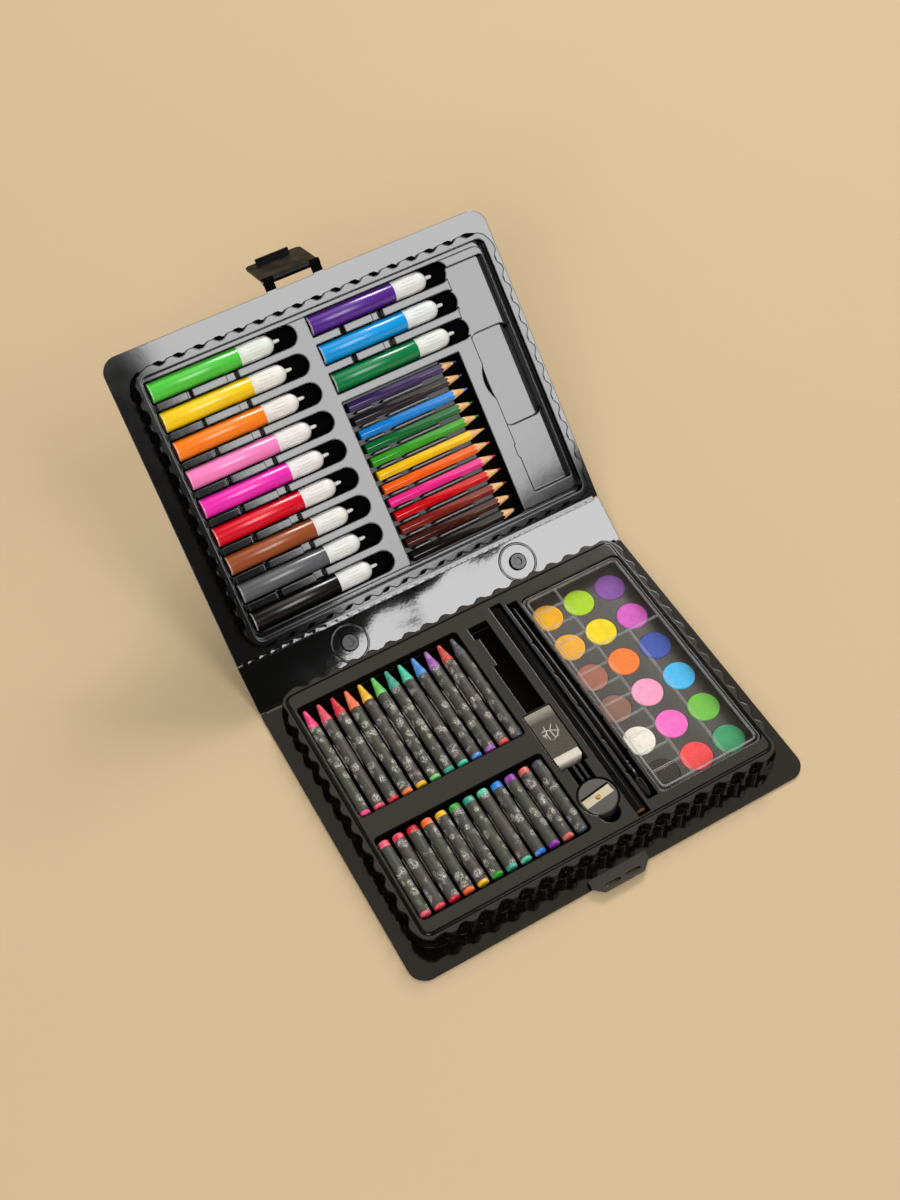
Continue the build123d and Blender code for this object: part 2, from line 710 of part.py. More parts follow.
def make_handle():
    # a strap along the outside of the spine, held at both ends and bowed a little between
    reach = rivet_spacing / 2
    half = reach + handle_end
    low = -sheet
    bow = low - handle_bow
    outer = Polyline((-half, low), (-reach + handle_end, low), (-reach / 2, bow), (reach / 2, bow),
                     (reach - handle_end, low), (half, low), (half, low - handle_thickness),
                     (reach - handle_end, low - handle_thickness), (reach / 2, bow - handle_thickness),
                     (-reach / 2, bow - handle_thickness), (-reach + handle_end, low - handle_thickness),
                     (-half, low - handle_thickness), close=True)
    face = Plane.XZ * make_face(outer)
    strap = Pos(0, spine_width / 2 + handle_width / 2, 0) * extrude(face, handle_width)
    strap = fillet(strap.edges().filter_by(Axis.Z), handle_width / 2 - 0.5)
    for side in (-1, 1):
        strap -= disc(side * reach, spine_width / 2, rivet_shank_diameter + 2 * handle_hole_clearance,
                      low - handle_thickness - 1, low + 1)
    return spine_place * strap


def make_rivets():
    outer = -sheet - handle_thickness
    rivet = disc(0, 0, rivet_head_diameter, 0, rivet_head_height)
    rivet = chamfer(rivet.faces().sort_by(Axis.Z)[-1].edges(), 0.7)
    rivet += disc(0, 0, rivet_shank_diameter, outer, 0.5)
    rivet += disc(0, 0, rivet_head_diameter * 0.7, outer - 1.0, outer)
    rivet -= disc(0, 0, rivet_dimple_diameter, rivet_head_height - 1.4, rivet_head_height + 1)
    return group(spine_place, rivet, [Pos(side * rivet_spacing / 2, spine_width / 2, 0) for side in (-1, 1)])


def clasp_axis_y():
    return board_depth + clasp_reach


def make_lid_board():
    plate = board(hinge_gap / 2, board_depth, -1)
    y = clasp_axis_y()
    r = clasp_knuckle_diameter / 2
    inner = clasp_knuckle_length / 2 + clasp_knuckle_gap
    for side in (-1, 1):
        x0, x1 = sorted((side * inner, side * clasp_width / 2))
        plate += block(x0, x1, board_depth - 1, y, -sheet, 0)
        plate += Pos((x0 + x1) / 2, y, -sheet / 2) * Rot(0, 90, 0) * Cylinder(r, x1 - x0)
    bore = Pos(0, y, -sheet / 2) * Rot(0, 90, 0) * Cylinder(clasp_pin_diameter / 2, clasp_width + 2)
    return lid_place * (plate - bore)


def make_clasp_pin():
    pin = Pos(0, clasp_axis_y(), -sheet / 2) * Rot(0, 90, 0) * Cylinder(clasp_pin_diameter / 2, clasp_width)
    return lid_place * pin


def make_hasp():
    # drawn hanging down from the pin at its own origin, then turned to its rest
    r = clasp_knuckle_diameter / 2
    w = clasp_width / 2
    k = clasp_knuckle_length / 2
    t = clasp_thickness / 2
    drop = spine_width + sheet / 2 - catch_low + hook_gap
    window = r + clasp_window_height
    plate = block(-w, w, -t, t, r + 0.6, drop + clasp_thickness)
    plate = fillet(plate.edges().filter_by(Axis.Y).group_by(Axis.Z)[-1], clasp_corner)
    neck = block(-k, k, -t, t, 0, r + 1.2)
    knuckle = Rot(0, 90, 0) * Cylinder(r, clasp_knuckle_length)
    hasp = plate + neck + knuckle
    for side in (-1, 1):
        x = side * k / 2
        hasp -= block(x - clasp_window_width / 2, x + clasp_window_width / 2, -r, r, r + 0.4, window)
    hook_w = catch_front_width / 2 - 2
    depth = clasp_reach - catch_reach + hook_reach
    hasp += block(-hook_w, hook_w, -depth, 0, drop, drop + clasp_thickness)
    hasp -= Rot(0, 90, 0) * Cylinder(clasp_pin_diameter / 2 + clasp_pin_clearance, clasp_width)
    place = lid_place * Pos(0, clasp_axis_y(), -sheet / 2) * Rot(-clasp_rest_angle, 0, 0)
    return place * hasp


def marker_places():
    places = []
    for k in range(marker_left_count):
        places.append((marker_left_x, marker_top_y - k * marker_pitch))
    for k in range(marker_right_count):
        places.append((marker_right_x, marker_top_y - k * marker_pitch))
    return places


def pencil_ys():
    return [pencil_centre_y + pencil_pitch * ((stick_count - 1) / 2 - k) for k in range(stick_count)]


def make_lid_tray():
    cx, cy = lid_tray_centre_x, lid_tray_centre_y
    w, d = lid_tray_width, lid_tray_depth
    body = basket_body(cx, cy, w, d, lid_rim_height, 0)
    top = lid_rim_height + 1
    inset = 2 * (tier_inset + wave_amplitude + lip_width)
    inner_w, inner_d = w - inset, d - inset
    body -= rounded_block(cx, cy, inner_w, inner_d, tray_corner / 2, lid_deck, top)
    groove = rounded_block(cx, cy, inner_w, inner_d, tray_corner / 2, lid_deck - groove_depth, lid_deck + 1)
    groove -= rounded_block(cx, cy, inner_w - 2 * groove_width, inner_d - 2 * groove_width, tray_corner / 2,
                            lid_deck - groove_depth - 1, lid_deck + 2)
    body -= groove

    pocket_w = marker_diameter + 2 * marker_pocket_side
    length = marker_barrel_length + marker_cap_length + marker_nub_length
    pockets = []
    for x, y in marker_places():
        end = x + length + marker_pocket_past - pocket_w / 2
        pocket = block(x - side_gap, end, y - pocket_w / 2, y + pocket_w / 2, marker_floor, top)
        pockets.append(pocket + disc(end, y, pocket_w, marker_floor, top))
    keep = []
    for x, count, spots in ((marker_left_x, marker_left_count, channel_left_spots),
                            (marker_right_x, marker_right_count, channel_right_spots)):
        low = marker_top_y - (count - 1) * marker_pitch
        keep.append(around(x - side_gap, x + length + marker_pocket_past, low - pocket_w / 2,
                           marker_top_y + pocket_w / 2, marker_floor, top))
        for spot, width in zip(spots, (channel_narrow, channel_wide)):
            pockets.append(block(x + spot - width / 2, x + spot + width / 2, low, marker_top_y,
                                 lid_deck - channel_depth, top))

    pencils = (pencil_left_x - pencil_end_gap, pencil_left_x + pencil_length + pencil_end_gap,
               pencil_ys()[-1] - pencil_across / 2 - 3 * side_gap, pencil_ys()[0] + pencil_across / 2 + 3 * side_gap)
    pockets.append(block(*pencils, pencil_floor, top))
    trench_floor = pencil_floor - pencil_trench_depth
    trench_x = pencils[1] - pencil_trench_length
    pockets.append(block(trench_x, pencils[1], pencils[2], pencils[3], trench_floor, top))
    keep.append(around(pencils[0], trench_x, pencils[2], pencils[3], pencil_floor, top))
    keep.append(around(trench_x, pencils[1], pencils[2], pencils[3], trench_floor, top))
    edge = recess_x - recess_width / 2
    recess = rounded_block(recess_x, recess_y, recess_width, recess_length, recess_corner,
                           lid_deck - recess_depth, top)
    deep = rounded_block(edge + recess_width - deep_width / 2, recess_y, deep_width, deep_length, deep_corner,
                         lid_deck - deep_depth, top)
    pockets += [recess, deep, thumb_scoop(edge)]
    for along in (slit_back, slit_front):
        pockets.append(block(edge - slit_width, edge + 1, recess_y + along - slit_length / 2,
                             recess_y + along + slit_length / 2, lid_deck - recess_depth, top))
    keep.append(around(edge - thumb_width, edge + recess_width, recess_y - recess_length / 2,
                       recess_y + recess_length / 2, lid_deck - recess_depth, top))
    keep.append(around(edge - thumb_width, edge + recess_width, recess_y - deep_length / 2,
                       recess_y + deep_length / 2, lid_deck - deep_depth, top))
    tray = body - pockets
    under = 2 * (wave_amplitude + tier_inset + tray_wall)
    hollow = rounded_block(cx, cy, w - under, d - under, tray_corner / 2, -1, lid_deck - groove_depth - tray_wall)
    deck_w = inner_w - 2 * groove_width - 2 * tray_wall
    deck_d = inner_d - 2 * groove_width - 2 * tray_wall
    hollow += rounded_block(cx, cy, deck_w, deck_d, tray_corner / 2, -1, lid_deck - tray_wall)
    tray -= hollow - keep
    return lid_place * (tray + pencil_ribs())


def thumb_scoop(edge):
    # a hollow like a finger tip beside the deep pocket, cut by a ball
    cut_radius = (thumb_length ** 2 / 4 + thumb_width ** 2) / (2 * thumb_width)
    rise = sqrt(thumb_scoop_radius ** 2 - cut_radius ** 2)
    ball = Pos(edge - thumb_width + cut_radius, recess_y, lid_deck + rise) * Sphere(thumb_scoop_radius)
    half = thumb_length / 2
    reach = block(edge - thumb_width - 1, edge + thumb_inside, recess_y - half, recess_y + half,
                  lid_deck - deep_depth, lid_deck + 1)
    return ball & reach


def pencil_ribs():
    # low islands that keep the colour pencils apart
    half = (pencil_pitch - pencil_across * 2 / sqrt(3)) / 2 - pencil_rib_gap
    ribs = []
    ys = pencil_ys()
    for upper, lower in zip(ys[:-1], ys[1:]):
        y = (upper + lower) / 2
        for start, end in (pencil_rib_short, pencil_rib_long):
            ribs.append(lens(pencil_left_x + start, pencil_left_x + end, y - half, y + half, pencil_rib_point,
                             pencil_floor - tray_wall / 2, pencil_z + pencil_rib_rise, True))
    return ribs


def make_marker(x, y):
    # a turned barrel whose neck and writing tip stand inside the cap
    r = marker_diameter / 2
    neck = r - marker_cap_wall - marker_neck_gap
    barrel_end = marker_barrel_length
    neck_end = barrel_end + marker_neck_length
    cone_end = neck_end + marker_cone_length
    tip_r = marker_tip_diameter / 2
    tip_end = cone_end + marker_tip_length
    profile = [(0, 0), (r - marker_bevel, 0), (r, marker_bevel), (r, barrel_end), (neck, barrel_end), (neck, neck_end),
               (tip_r + 1, cone_end), (tip_r, cone_end), (tip_r, tip_end - tip_r), (tip_r / 2, tip_end), (0, tip_end)]
    barrel = turned(profile)
    end = barrel_end + marker_cap_length
    tip = marker_cap_end_diameter / 2
    nub = marker_nub_diameter / 2
    wall = marker_cap_wall
    shoulder = end - marker_cap_taper
    profile = [(r - wall, barrel_end), (r, barrel_end), (r, shoulder), ((r + tip) / 2 + 0.6, end - marker_cap_taper / 3),
               (tip - 1.2, end), (nub, end), (nub, end + marker_nub_length), (0, end + marker_nub_length),
               (0, end - wall), (tip - wall - 1.0, end - wall), (r - wall, shoulder - 1.0)]
    cap = turned(profile)
    place = lid_place * Pos(x, y, marker_z) * Rot(0, 0, -90)
    return place * barrel, place * cap


def make_pencils():
    body = pencil_length - pencil_cone_length
    bar = hex_bar(pencil_across, pencil_length, False)
    r = pencil_across / sqrt(3) + 0.05
    slope = (r - pencil_lead_diameter / 6) / pencil_cone_length
    profile = [(0, -1), (r, -1), (r, body), (r - slope * pencil_cone_length, pencil_length), (0, pencil_length)]
    turned_blank = Rot(0, 0, -90) * turned(profile)
    pencil = bar & turned_blank
    places = [Pos(pencil_left_x, y, pencil_z) for y in pencil_ys()]
    return group(lid_place, pencil, places)


os.makedirs("parts", exist_ok=True)


def save(name, shape):
    export_step(shape, "parts/" + name + ".step")


save("base_board", make_base_board())
save("base_tray", make_base_tray())
save("base_catch", make_catch())
save("spine_panel", make_spine())
save("carry_handle", make_handle())
save("handle_rivets", make_rivets())
save("lid_board", make_lid_board())
save("lid_tray", make_lid_tray())
save("clasp_pin", make_clasp_pin())
save("clasp_hasp", make_hasp())
save("crayons", make_crayons())
save("pastels", make_pastels())
save("paint_tray", make_paint_tray())
save("paint_cover", make_paint_cover())
save("paint_cakes_left", make_cakes(-1))
save("paint_cakes_middle", make_cakes(0))
save("paint_cakes_right", make_cakes(1))
long_wood, long_lead = make_long_pencil()
save("long_pencil", long_wood)
save("long_pencil_lead", long_lead)
brush_handle, brush_ferrule, brush_tuft = make_brush()
save("brush_handle", brush_handle)
save("brush_ferrule", brush_ferrule)
save("brush_tuft", brush_tuft)
eraser_block, eraser_sleeve_shell = make_eraser()
save("eraser_block", eraser_block)
save("eraser_sleeve", eraser_sleeve_shell)
sharpener_body, sharpener_blade, sharpener_screw = make_sharpener()
save("sharpener_body", sharpener_body)
save("sharpener_blade", sharpener_blade)
save("sharpener_screw", sharpener_screw)
save("colour_pencils", make_pencils())
marker_names = ["light_green", "yellow", "orange", "pink", "magenta", "red", "brown", "grey", "black",
                "purple", "blue", "dark_green"]
for marker_name, (marker_x, marker_y) in zip(marker_names, marker_places()):
    barrel, cap = make_marker(marker_x, marker_y)
    save("marker_" + marker_name, barrel)
    save("marker_cap_" + marker_name, cap)
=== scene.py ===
import json
import math
import random

import bmesh
import bpy
from mathutils import Matrix, Vector


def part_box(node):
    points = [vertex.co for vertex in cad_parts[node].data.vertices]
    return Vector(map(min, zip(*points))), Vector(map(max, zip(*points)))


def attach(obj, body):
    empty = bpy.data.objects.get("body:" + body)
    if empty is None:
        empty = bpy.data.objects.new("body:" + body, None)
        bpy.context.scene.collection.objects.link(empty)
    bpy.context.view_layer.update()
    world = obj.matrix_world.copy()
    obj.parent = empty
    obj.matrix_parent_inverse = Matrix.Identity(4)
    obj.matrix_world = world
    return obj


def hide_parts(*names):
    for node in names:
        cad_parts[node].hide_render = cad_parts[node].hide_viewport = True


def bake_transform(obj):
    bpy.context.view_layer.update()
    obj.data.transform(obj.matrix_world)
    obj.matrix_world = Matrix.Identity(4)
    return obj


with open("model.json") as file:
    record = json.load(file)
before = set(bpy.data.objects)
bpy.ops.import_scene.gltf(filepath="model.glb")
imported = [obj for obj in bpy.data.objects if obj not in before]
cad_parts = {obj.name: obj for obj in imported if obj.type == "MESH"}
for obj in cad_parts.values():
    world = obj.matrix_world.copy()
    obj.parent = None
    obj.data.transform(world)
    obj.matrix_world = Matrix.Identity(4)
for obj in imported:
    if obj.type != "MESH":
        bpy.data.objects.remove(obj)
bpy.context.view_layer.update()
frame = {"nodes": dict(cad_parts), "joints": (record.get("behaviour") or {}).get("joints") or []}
nodes = frame["nodes"]
MM = 0.001
LEFT_RIGHT = Vector((1, 0, 0))
BACK = Vector((0, 1, 0))
UP = Vector((0, 0, 1))

# Places: the base board's frame and the spine's start at the first fold, the lid board's at the second.
joints = {j["name"]: j for j in frame["joints"]}
fold_one = Vector(joints["spine_hinge"]["pos_m"])
fold_two = Vector(joints["lid_hinge"]["pos_m"])
lid_normal = Vector(joints["pencils_lift"]["axis"]).normalized()
lid_along = Vector((0, lid_normal.z, -lid_normal.y))
spine_along = (fold_two - fold_one).normalized()
spine_normal = Vector((0, -spine_along.z, spine_along.y))


def frame_matrix(x_axis, y_axis, z_axis, origin):
    rows = [[x_axis[i], y_axis[i], z_axis[i], origin[i]] for i in range(3)]
    return Matrix(rows + [[0, 0, 0, 1]])


BASE = frame_matrix(LEFT_RIGHT, BACK, UP, fold_one)
SPINE = frame_matrix(LEFT_RIGHT, spine_along, spine_normal, fold_one)
LID = frame_matrix(LEFT_RIGHT, lid_along, lid_normal, fold_two)


def spot(frame_m, x, y, z, turn=0.0):
    """A place in a local frame, in millimetres, with a turn about its normal in degrees."""
    place = Matrix.Translation((x * MM, y * MM, z * MM))
    return frame_m @ place @ Matrix.Rotation(math.radians(turn), 4, "Z")


def local_box(node, frame_m):
    """The box of a CAD node in one of the local frames, in millimetres."""
    inverse = frame_m.inverted()
    points = [inverse @ v.co for v in nodes[node].data.vertices]
    low = [min(p[i] for p in points) / MM for i in range(3)]
    high = [max(p[i] for p in points) / MM for i in range(3)]
    return low, high


# Colours and materials
def srgb(r, g, b):
    def linear(c):
        c /= 255
        return c / 12.92 if c <= 0.04045 else ((c + 0.055) / 1.055) ** 2.4
    return (linear(r), linear(g), linear(b), 1.0)


def scaled(color, k):
    return (min(color[0] * k, 1), min(color[1] * k, 1), min(color[2] * k, 1), 1.0)


def blended(a, b, share):
    return tuple(p + (q - p) * share for p, q in zip(a, b))


class Nodes:
    """Short calls that add nodes to a tree and link them."""

    def __init__(self, tree):
        self.tree = tree

    def feed(self, socket, value):
        if isinstance(value, bpy.types.NodeSocket):
            self.tree.links.new(value, socket)
        else:
            socket.default_value = value

    def node(self, kind, **inputs):
        n = self.tree.nodes.new(kind)
        for key, value in inputs.items():
            self.feed(n.inputs[key.replace("_", " ")], value)
        return n

    def math(self, op, a, b=0.0, clamp=False):
        n = self.node("ShaderNodeMath")
        n.operation = op
        n.use_clamp = clamp
        self.feed(n.inputs[0], a)
        self.feed(n.inputs[1], b)
        return n.outputs["Value"]

    def vector_math(self, op, *vectors):
        n = self.node("ShaderNodeVectorMath")
        n.operation = op
        for socket, vector in zip(n.inputs, vectors):
            self.feed(socket, vector)
        return n.outputs["Value"]

    def span(self, value, low, high, a, b):
        """a where value is low, b where it is high."""
        n = self.node("ShaderNodeMapRange", Value=value, From_Min=low, From_Max=high, To_Min=a, To_Max=b)
        return n.outputs["Result"]

    def mix(self, fac, a, b):
        n = self.node("ShaderNodeMix")
        n.data_type = "RGBA"
        for key, value in (("Factor", fac), ("A", a), ("B", b)):
            self.feed(n.inputs[key], value)
        return n.outputs["Result"]


class Shader(Nodes):
    """A node material: one principled shader, with helpers for what feeds it."""

    LIMIT_BLUR = 0.2 * MM

    def __init__(self, name, color, rough=0.4, metallic=0.0, specular=0.5, coat=0.0, alpha=1.0):
        self.mat = bpy.data.materials.new(name)
        self.mat.use_nodes = True
        super().__init__(self.mat.node_tree)
        self.bsdf = self.tree.nodes["Principled BSDF"]
        self.set("Base Color", color)
        self.set("Roughness", rough)
        self.set("Metallic", metallic)
        self.set("Specular IOR Level", specular)
        self.set("Coat Weight", coat)
        self.set("Alpha", alpha)
        texture = self.node("ShaderNodeTexCoord").outputs
        self.coords = texture["Object"]
        self.facing = texture["Normal"]
        self.rounded = None
        self.normal = None

    def set(self, socket, value):
        self.feed(self.bsdf.inputs[socket], value)

    def noise(self, scale, detail=3.0, rough=0.55, stretch=None):
        where = self.coords
        if stretch:
            where = self.node("ShaderNodeMapping", Vector=where, Scale=stretch).outputs["Vector"]
        n = self.node("ShaderNodeTexNoise", Vector=where, Scale=scale, Detail=detail, Roughness=rough)
        return n.outputs["Fac"]

    def face_normal(self):
        return self.node("ShaderNodeNewGeometry").outputs["Normal"]

    def bevel(self, radius, samples):
        n = self.node("ShaderNodeBevel", Radius=radius)
        n.samples = samples
        return n.outputs["Normal"]

    def soften(self, radius):
        """Rounds the sharp edges in the shading."""
        self.rounded = self.normal = self.bevel(radius, 6)
        self.set("Normal", self.normal)

    def bump(self, height, strength, distance):
        n = self.node("ShaderNodeBump", Height=height, Strength=strength, Distance=distance)
        if self.normal is not None:
            self.feed(n.inputs["Normal"], self.normal)
        self.normal = n.outputs["Normal"]
        self.set("Normal", self.normal)

    def step(self, direction, level, before, after):
        """before up to a level along a direction, in metres, and after beyond it."""
        along = self.vector_math("DOT_PRODUCT", self.coords, direction)
        return self.span(along, level, level + self.LIMIT_BLUR, before, after)

    def turned(self, direction, low, high, a, b):
        """a where the face's normal agrees with a direction by low, b where by high."""
        return self.span(self.vector_math("DOT_PRODUCT", self.facing, direction), low, high, a, b)


def gloss_sheet(name, color, rough, wave, spread, ior, soft=0.0006):
    """Glossy formed plastic: slow waves in the sheet, fine scuffs and a few specks of dust."""
    s = Shader(name, color, rough=rough)
    s.set("IOR", ior)
    s.soften(soft)
    s.bump(s.noise(spread, 1.5, 0.4), wave, 0.004)
    s.bump(s.noise(260), 0.035, 0.0002)
    scuffs = s.noise(70, 5, 0.7, stretch=(1, 0.3, 1))
    s.set("Roughness", s.span(scuffs, 0.35, 0.8, rough * 0.9, rough * 1.3))
    dust = s.noise(1500, 1, 0.4)
    s.set("Base Color", s.mix(s.span(dust, 0.7, 0.78, 0.0, 0.3), color, scaled(color, 4.0)))
    return s


def gloss_limits(s, past=None, band=None, floors=None, wall=None, edges=False, kept=None):
    """Scales a sheet's gloss: none past a level along a direction, in a band, and on floors under a level.
    wall gives the share on faces that turn from a direction; rounded edges have little, but for the kept
    band."""
    # Painted shade: past a level, in a band and on floors the gloss is taken off, so these recesses render
    # black as if shaded.
    parts = []
    if past:
        parts.append(s.step(*past, 1.0, 0.0))
    if band:
        direction, low, high = band
        parts.append(s.math("MAXIMUM", s.step(direction, low, 1.0, 0.0), s.step(direction, high, 0.0, 1.0)))
    if floors:
        direction, level = floors
        above = s.step(direction, level, 0.0, 1.0)
        parts.append(s.math("MAXIMUM", above, s.turned(direction, 0.8, 0.95, 1.0, 0.0)))
    # Painted shade: where the wall share is below 1, faces turned from the direction render darker.
    if wall:
        parts.append(s.turned(*wall, 1.0))
    # Painted shade: rounded edges lose their gloss and render as dark outlines.
    if edges:
        part = s.span(s.vector_math("DOT_PRODUCT", s.rounded, s.face_normal()), 0.94, 0.99, 0.06, 1.0)
        if kept:
            direction, low, high = kept
            inside = s.math("MINIMUM", s.step(direction, low, 0.0, 1.0), s.step(direction, high, 1.0, 0.0))
            part = s.math("MAXIMUM", part, inside)
        parts.append(part)
    level = 0.5
    for part in parts:
        level = s.math("MULTIPLY", part, level)
    s.set("Specular IOR Level", level)


def plastic(name, color, rough, grain=0.05):
    """Coloured moulded plastic with faint unevenness."""
    s = Shader(name, color, rough=rough, coat=0.45)
    s.set("Coat Roughness", 0.13)
    tone = s.span(s.noise(55), 0.3, 0.7, 0.0, 1.0)
    s.set("Base Color", s.mix(tone, scaled(color, 0.93), scaled(color, 1.06)))
    s.set("Roughness", s.span(s.noise(160, 4), 0.3, 0.7, rough * 0.97, rough * 1.05))
    s.bump(s.noise(700, 2), grain, 0.0001)
    return s


def cap_plastic(name, inside):
    """White translucent plastic, faintly tinted by the marker inside."""
    s = Shader(name, srgb(226, 228, 225), rough=0.32)
    s.set("Subsurface Weight", 0.1)
    s.set("Subsurface Radius", (0.002, 0.002, 0.002))
    s.set("Subsurface Scale", 0.4)
    grey = blended(srgb(219, 222, 220), inside, 0.07)
    white = blended(srgb(234, 235, 232), inside, 0.05)
    s.set("Base Color", s.mix(s.noise(70), grey, white))
    s.bump(s.noise(600, 2), 0.05, 0.0002)
    return s


def wax(name, color):
    """Wax with a pale, uneven bloom."""
    s = Shader(name, color, rough=0.5, specular=0.4)
    s.set("Subsurface Weight", 0.08)
    s.set("Subsurface Radius", (0.002, 0.002, 0.002))
    s.set("Subsurface Scale", 0.5)
    bloom = s.noise(260, 5, 0.65)
    pale = s.mix(0.35, scaled(color, 1.3), (0.8, 0.75, 0.7, 1))
    s.set("Base Color", s.mix(s.span(bloom, 0.48, 0.66, 0.0, 0.6), scaled(color, 0.92), pale))
    s.set("Roughness", s.span(s.noise(420), 0.3, 0.7, 0.38, 0.65))
    s.bump(bloom, 0.25, 0.0004)
    return s


def wrap_paper(name, color, seed):
    """Dark printed paper: pale broken flecks in loose patches, of no particular design."""
    s = Shader(name, color, rough=0.55, specular=0.35)
    shift = (seed * 0.37, seed * 0.21, seed * 0.11)
    where = s.node("ShaderNodeMapping", Vector=s.coords, Location=shift).outputs["Vector"]
    blobs = s.node("ShaderNodeTexVoronoi", Vector=where, Scale=125)
    dots = s.node("ShaderNodeTexVoronoi", Vector=where, Scale=1000)
    cracks = s.node("ShaderNodeTexVoronoi", Vector=where, Scale=520)
    cracks.feature = "DISTANCE_TO_EDGE"
    broken = s.node("ShaderNodeTexNoise", Vector=where, Scale=420, Detail=3, Roughness=0.6).outputs["Fac"]
    ragged = s.math("ADD", blobs.outputs["Distance"], s.span(broken, 0.3, 0.7, -0.12, 0.12))
    patch = s.span(ragged, 0.36, 0.44, 1.0, 0.0)
    marks = s.math("MAXIMUM", s.span(dots.outputs["Distance"], 0.2, 0.45, 1.0, 0.0),
                   s.span(cracks.outputs["Distance"], 0.0, 0.12, 0.7, 0.0))
    flecks = s.math("MULTIPLY", marks, s.span(broken, 0.4, 0.55, 0.1, 1.0))
    ink = s.math("MULTIPLY", flecks, patch, clamp=True)
    fibres = s.span(s.noise(300, 4, 0.6), 0.3, 0.7, 0.0, 1.0)
    paper = s.mix(fibres, scaled(color, 0.8), scaled(color, 1.25))
    paper = s.mix(s.math("MULTIPLY", patch, 0.5), paper, scaled(color, 1.9))
    s.set("Base Color", s.mix(ink, paper, (0.8, 0.78, 0.72, 1)))
    s.bump(s.noise(380, 4), 0.2, 0.0003)
    return s


def lacquer(name, color, rough=0.16, coat=0.5):
    """Paint over wood, whose grain shows as faint lines along X."""
    s = Shader(name, color, rough=rough, specular=0.25 + 0.7 * coat, coat=coat)
    s.set("Coat Roughness", 0.06)
    tone = s.span(s.noise(120, 4), 0.3, 0.7, 0.0, 1.0)
    s.set("Base Color", s.mix(tone, scaled(color, 0.9), scaled(color, 1.08)))
    s.bump(s.noise(260, 3, stretch=(0.1, 1, 1)), 0.12, 0.0002)
    return s


def bare_wood(name, light, dark):
    s = Shader(name, light, rough=0.6, specular=0.3)
    grain = s.noise(900, 5, 0.6, stretch=(0.08, 1, 1))
    s.set("Base Color", s.mix(s.span(grain, 0.35, 0.7, 0.0, 1.0), light, dark))
    s.bump(grain, 0.3, 0.0003)
    return s


def powder(name, color):
    """Pressed paint: fine grain, faint mottling, matte."""
    color = scaled(color, 1.15)
    s = Shader(name, color, rough=0.8, specular=0.15)
    mottle = s.noise(240, 6, 0.7)
    s.set("Base Color", s.mix(s.span(mottle, 0.35, 0.7, 0.0, 1.0), scaled(color, 0.88), scaled(color, 1.1)))
    s.bump(s.noise(1500), 0.35, 0.0003)
    s.bump(mottle, 0.2, 0.0004)
    return s


def metal(name, color, rough, streak=(1, 1, 1)):
    s = Shader(name, color, rough=rough, metallic=1.0)
    lines = s.noise(500, 4, 0.6, stretch=streak)
    s.set("Roughness", s.span(lines, 0.3, 0.7, rough * 0.7, rough * 1.5))
    s.set("Base Color", s.mix(s.span(lines, 0.3, 0.7, 0.0, 1.0), scaled(color, 0.85), scaled(color, 1.1)))
    s.bump(lines, 0.08, 0.0001)
    return s


def clear_film(name, tint, alpha, edge_highlight_tint, edge_alpha, ior):
    """Clear sheet: of its flat parts little shows but their gloss; painted shade darkens its walls and a pale
    painted highlight lines its edges.
    """
    s = Shader(name, tint, rough=0.05, alpha=alpha)
    s.set("IOR", ior)
    flat = s.face_normal()
    # Painted highlight: rounded edges are tinted pale and made nearly opaque.
    edge = s.span(s.vector_math("DOT_PRODUCT", flat, s.bevel(0.0006, 8)), 0.8, 0.97, 1.0, 0.0)
    # Painted shade: faces turned from up are made more opaque, darkening the walls.
    upward = s.node("ShaderNodeSeparateXYZ", Vector=flat).outputs["Z"]
    wall = s.span(s.math("ABSOLUTE", upward), 0.2, 0.8, 0.45, 0.0)
    s.set("Base Color", s.mix(edge, tint, edge_highlight_tint))
    streak = s.noise(120, 4, 0.6, stretch=(1, 0.25, 1))
    s.set("Alpha", s.math("ADD", s.span(s.math("MAXIMUM", edge, wall), 0.0, 1.0, alpha, edge_alpha),
                          s.span(streak, 0.6, 0.8, 0.0, 0.05), clamp=True))
    s.bump(s.noise(45, 2), 0.12, 0.0015)
    s.set("Roughness", s.span(s.noise(300, 4), 0.35, 0.7, 0.04, 0.13))
    return s


BASE_BOARD = gloss_sheet("base_board_plastic", srgb(13, 10, 8), rough=0.09, wave=0.4, spread=11, ior=1.38)
BASE_TRAY = gloss_sheet("base_tray_plastic", srgb(13, 11, 9), rough=0.13, wave=0.04, spread=14, ior=1.5,
                        soft=0.0011)
LID_BOARD = gloss_sheet("lid_board_plastic", srgb(12, 11, 10), rough=0.07, wave=0.05, spread=16, ior=1.85)
LID_TRAY = gloss_sheet("lid_tray_plastic", srgb(11, 10, 10), rough=0.08, wave=0.03, spread=14, ior=1.78,
                       soft=0.0014)
SPINE_SHEET = gloss_sheet("spine_plastic", srgb(8, 8, 8), rough=0.035, wave=0.12, spread=17, ior=1.8)
MOULDED = gloss_sheet("moulded_plastic", srgb(14, 13, 13), rough=0.18, wave=0.1, spread=14, ior=1.55,
                       soft=0.0004)
WELLS = gloss_sheet("paint_tray_plastic", srgb(54, 49, 43), rough=0.42, wave=0.05, spread=14, ior=1.45,
                    soft=0.0004)
HASP = gloss_sheet("hasp_plastic", srgb(9, 9, 9), rough=0.3, wave=0.25, spread=60, ior=1.3, soft=0.0005)
